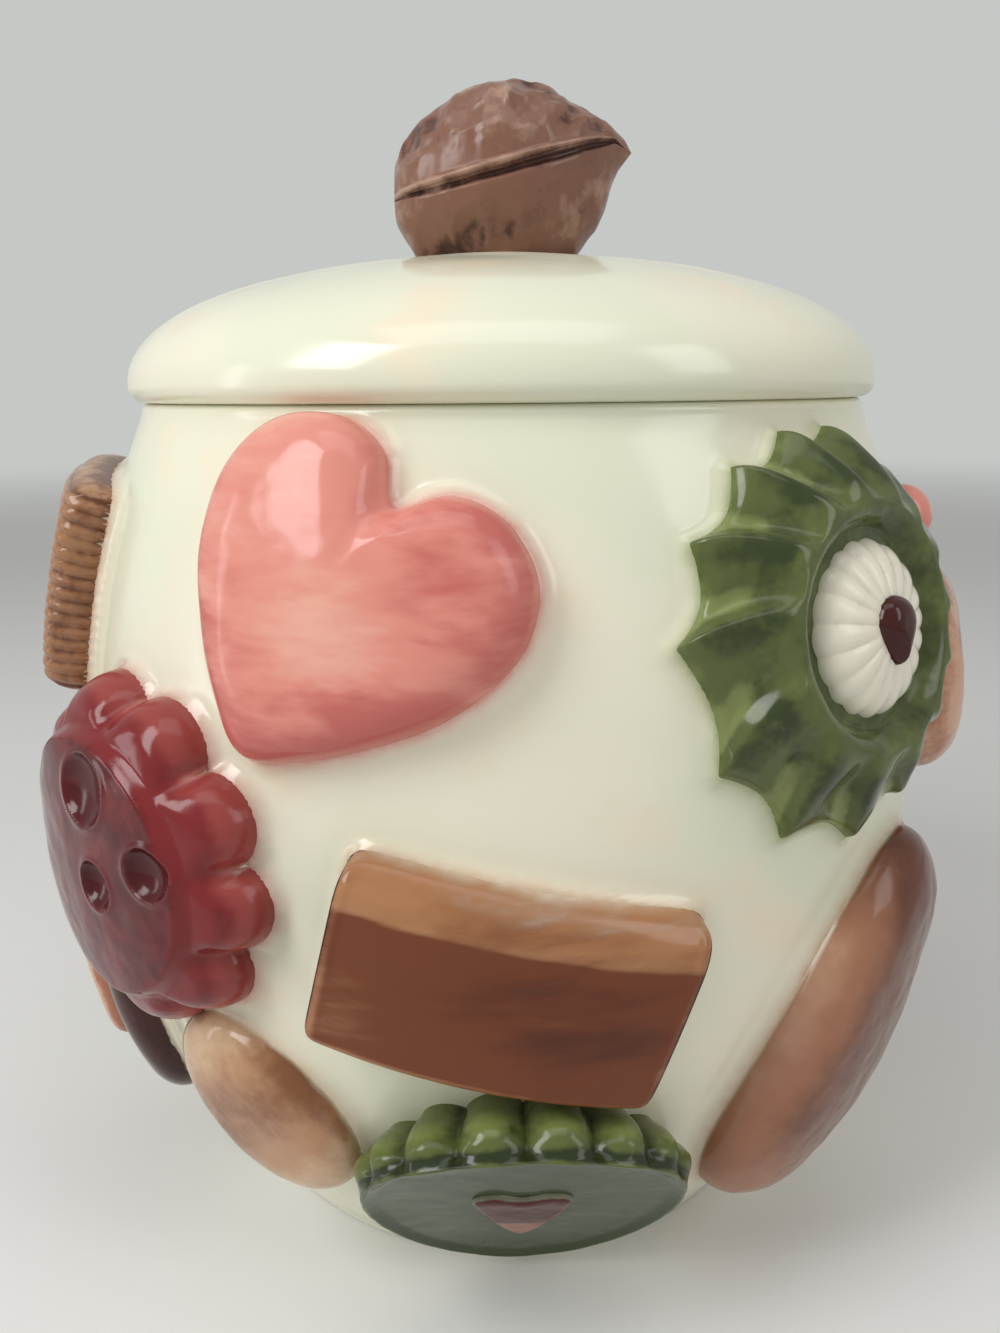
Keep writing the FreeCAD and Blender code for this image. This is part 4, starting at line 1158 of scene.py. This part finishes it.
def stage():
    """Round pale floor that fades into the background's colour far from the jar."""
    mesh = bpy.data.meshes.new("floor")
    ring = [point + (0.0,) for point in arc((0.0, 0.0), FLOOR_REACH, 0, 360, 97)[:-1]]
    mesh.from_pydata(ring, [], [tuple(range(len(ring)))])
    nodes = Nodes("floor")
    distance = nodes.new("VectorMath")
    distance.operation = "LENGTH"
    nodes.link(nodes.place, distance.inputs[0])
    far = nodes.span(distance.outputs["Value"], 0.8, 3.0)
    nodes.shader.inputs["Base Color"].default_value = FLOOR_COLOUR
    nodes.shader.inputs["Roughness"].default_value = 0.7
    glow = nodes.new("Emission", Color=BACKGROUND)
    blend = nodes.new("MixShader")
    nodes.link(far, blend.inputs[0])
    nodes.link(nodes.shader.outputs[0], blend.inputs[1])
    nodes.link(glow.outputs[0], blend.inputs[2])
    nodes.link(blend.outputs[0], nodes.tree.nodes["Material Output"].inputs["Surface"])
    mesh.materials.append(nodes.material)
    floor = bpy.data.objects.new("floor", mesh)
    bpy.context.scene.collection.objects.link(floor)


def softbox(name, azimuth, elevation, distance, width, height, power):
    """Area lamp that faces the jar's middle."""
    light = bpy.data.lights.new(name, "AREA")
    light.shape = "RECTANGLE"
    light.size = width
    light.size_y = height
    light.energy = power
    lamp = bpy.data.objects.new(name, light)
    side, climb = math.radians(azimuth), math.radians(elevation)
    middle = np.array(LAMP_TARGET)
    away = np.array([math.sin(side) * math.cos(climb), -math.cos(side) * math.cos(climb), math.sin(climb)])
    lamp.location = (middle + away * distance).tolist()
    facing = Matrix.Rotation(side, 4, "Z") @ Matrix.Rotation(math.pi / 2 - climb, 4, "X")
    lamp.rotation_euler = facing.to_euler()
    bpy.context.scene.collection.objects.link(lamp)


def light_scene():
    world = bpy.data.worlds.new("studio")
    world.use_nodes = True
    tree = world.node_tree
    seen = tree.nodes["Background"]
    seen.inputs["Color"].default_value = BACKGROUND
    ambient = tree.nodes.new("ShaderNodeBackground")
    ambient.inputs["Color"].default_value = (1.0, 0.99, 0.97, 1)
    ambient.inputs["Strength"].default_value = AMBIENT
    path = tree.nodes.new("ShaderNodeLightPath")
    either = path.outputs["Is Camera Ray"]
    for kind in ("Is Glossy Ray", "Is Transmission Ray"):
        larger = tree.nodes.new("ShaderNodeMath")
        larger.operation = "MAXIMUM"
        tree.links.new(either, larger.inputs[0])
        tree.links.new(path.outputs[kind], larger.inputs[1])
        either = larger.outputs[0]
    blend = tree.nodes.new("ShaderNodeMixShader")
    tree.links.new(either, blend.inputs[0])
    tree.links.new(ambient.outputs[0], blend.inputs[1])
    tree.links.new(seen.outputs[0], blend.inputs[2])
    tree.links.new(blend.outputs[0], tree.nodes["World Output"].inputs["Surface"])
    bpy.context.scene.world = world
    for name, values in LAMPS.items():
        softbox(name, *values)


CAMERA_PLACE = (-0.95, -260.7, 183.35)
CAMERA_PITCH = 0.252
CAMERA_ROLL = 0.009
CAMERA_LENS = 29.17


def set_camera():
    data = bpy.data.cameras.new("camera")
    data.lens = CAMERA_LENS
    data.sensor_width = 36.0
    data.clip_start = 0.01
    camera = bpy.data.objects.new("camera", data)
    camera.matrix_world = (Matrix.Translation([value * MM for value in CAMERA_PLACE])
                           @ Matrix.Rotation(math.pi / 2 - CAMERA_PITCH, 4, "X")
                           @ Matrix.Rotation(-CAMERA_ROLL, 4, "Z"))
    bpy.context.scene.collection.objects.link(camera)
    bpy.context.scene.camera = camera


CREAM_GLAZE = cream_glaze()
HEART_GLAZE = painted("pink_glaze", (222, 142, 128), (198, 106, 98), (234, 174, 156),
                      streak=(0.5, 0.5, 1.6), blotch=10.0)
WREATH_GLAZE = painted("green_glaze", (88, 98, 54), (54, 64, 34), (124, 134, 80), blotch=7.0)
ICING_GLAZE = painted("icing_glaze", (236, 230, 212), (196, 186, 162), (244, 240, 228), blotch=6.0)
ALMOND_GLAZE = painted("almond_glaze", (62, 22, 16), (40, 12, 10), (92, 42, 32), blotch=4.0, roughness=0.06)
WAFER_GLAZE = painted("wafer_glaze", (114, 57, 27), (86, 40, 18), (172, 122, 84), (50, 22, 14),
                      streak=(0.4, 0.4, 1.6), blotch=12.0, edge_width=0.35)
# The tart's accent colour is painted shade and reflection on its face
TART_GLAZE = painted("tart_glaze", (92, 102, 54), (42, 52, 28), (118, 130, 72), (66, 78, 52), blotch=7.0)
CHERRY_GLAZE = painted("jam_glaze", (82, 24, 20), (54, 14, 12), (156, 108, 92),
                       blotch=4.0, edge_colour=(120, 122, 98))
FINGER_GLAZE = painted("finger_glaze", (162, 112, 86), (104, 58, 40), (204, 168, 140),
                       blotch=11.0, edge_width=0.45, mottle=0.22)
FLOWER_GLAZE = painted("maroon_glaze", (124, 38, 40), (78, 16, 20), (152, 68, 64), (184, 128, 118),
                       blotch=7.0, mottle=0.35)
OVAL_GLAZE = painted("oval_glaze", (186, 142, 108), (134, 88, 58), (212, 182, 148),
                     blotch=8.0, edge_width=0.45, mottle=0.35)
RIDGE_GLAZE = painted("ridge_glaze", (158, 114, 82), (104, 64, 42), (196, 160, 128), blotch=5.0)
CHOCOLATE_GLAZE = painted("chocolate_glaze", (70, 36, 30), (48, 22, 18), (100, 60, 50),
                          blotch=8.0, roughness=0.1)
ROUND_GLAZE = painted("tan_glaze", (206, 162, 136), (168, 110, 84), (220, 186, 164),
                      blotch=6.0, edge_width=0.4)
WALNUT_GLAZE = painted("walnut_glaze", (128, 90, 74), (74, 46, 38), (168, 134, 116),
                       blotch=6.0, roughness=0.22, mottle=0.7)

ring_place = Place(*BACK_RING_SPOT)
wreath_place = Place(*WREATH_SPOT)
heart("heart_biscuit", Place(*HEART_SPOT))
wafer("wafer_biscuit", Place(*WAFER_SPOT))
wreath(wreath_place)
button("icing_button", wreath_place, BUTTON_LOW)
topping("almond", wreath_place,
        mirrored_shape(ALMOND_HALF), ALMOND_LOW, 3.2, 3.6, ALMOND_GLAZE)
flower("flower_biscuit", Place(*FLOWER_SPOT), FLOWER_TURN, FLOWER_DENTS)
finger(Place(*FINGER_SPOT))
oval("oval_biscuit", Place(*OVAL_SPOT))
ridged(Place(*RIDGED_SPOT))
chocolate(Place(*CHOCOLATE_SPOT))
round_biscuit(Place(*ROUND_SPOT))
sugar_drop(Place(*DROP_SPOT))
heart("back_heart_biscuit", Place(*BACK_HEART_SPOT))
wafer("back_wafer_biscuit", Place(*BACK_WAFER_SPOT))
ring_biscuit(ring_place)
button("back_icing_button", ring_place, BUTTON_LOW + 0.6)
flower("back_flower_biscuit", Place(*BACK_FLOWER_SPOT), 0.0, ())
oval("back_oval_biscuit", Place(*BACK_OVAL_SPOT))
tart(TartPlace())
jar_skin()
lid_skin()
walnut_half("walnut_upper", 0.0, 180.0)
walnut_half("walnut_lower", 180.0, 360.0)
stage()
light_scene()
set_camera()
bpy.context.scene.view_settings.view_transform = "Standard"
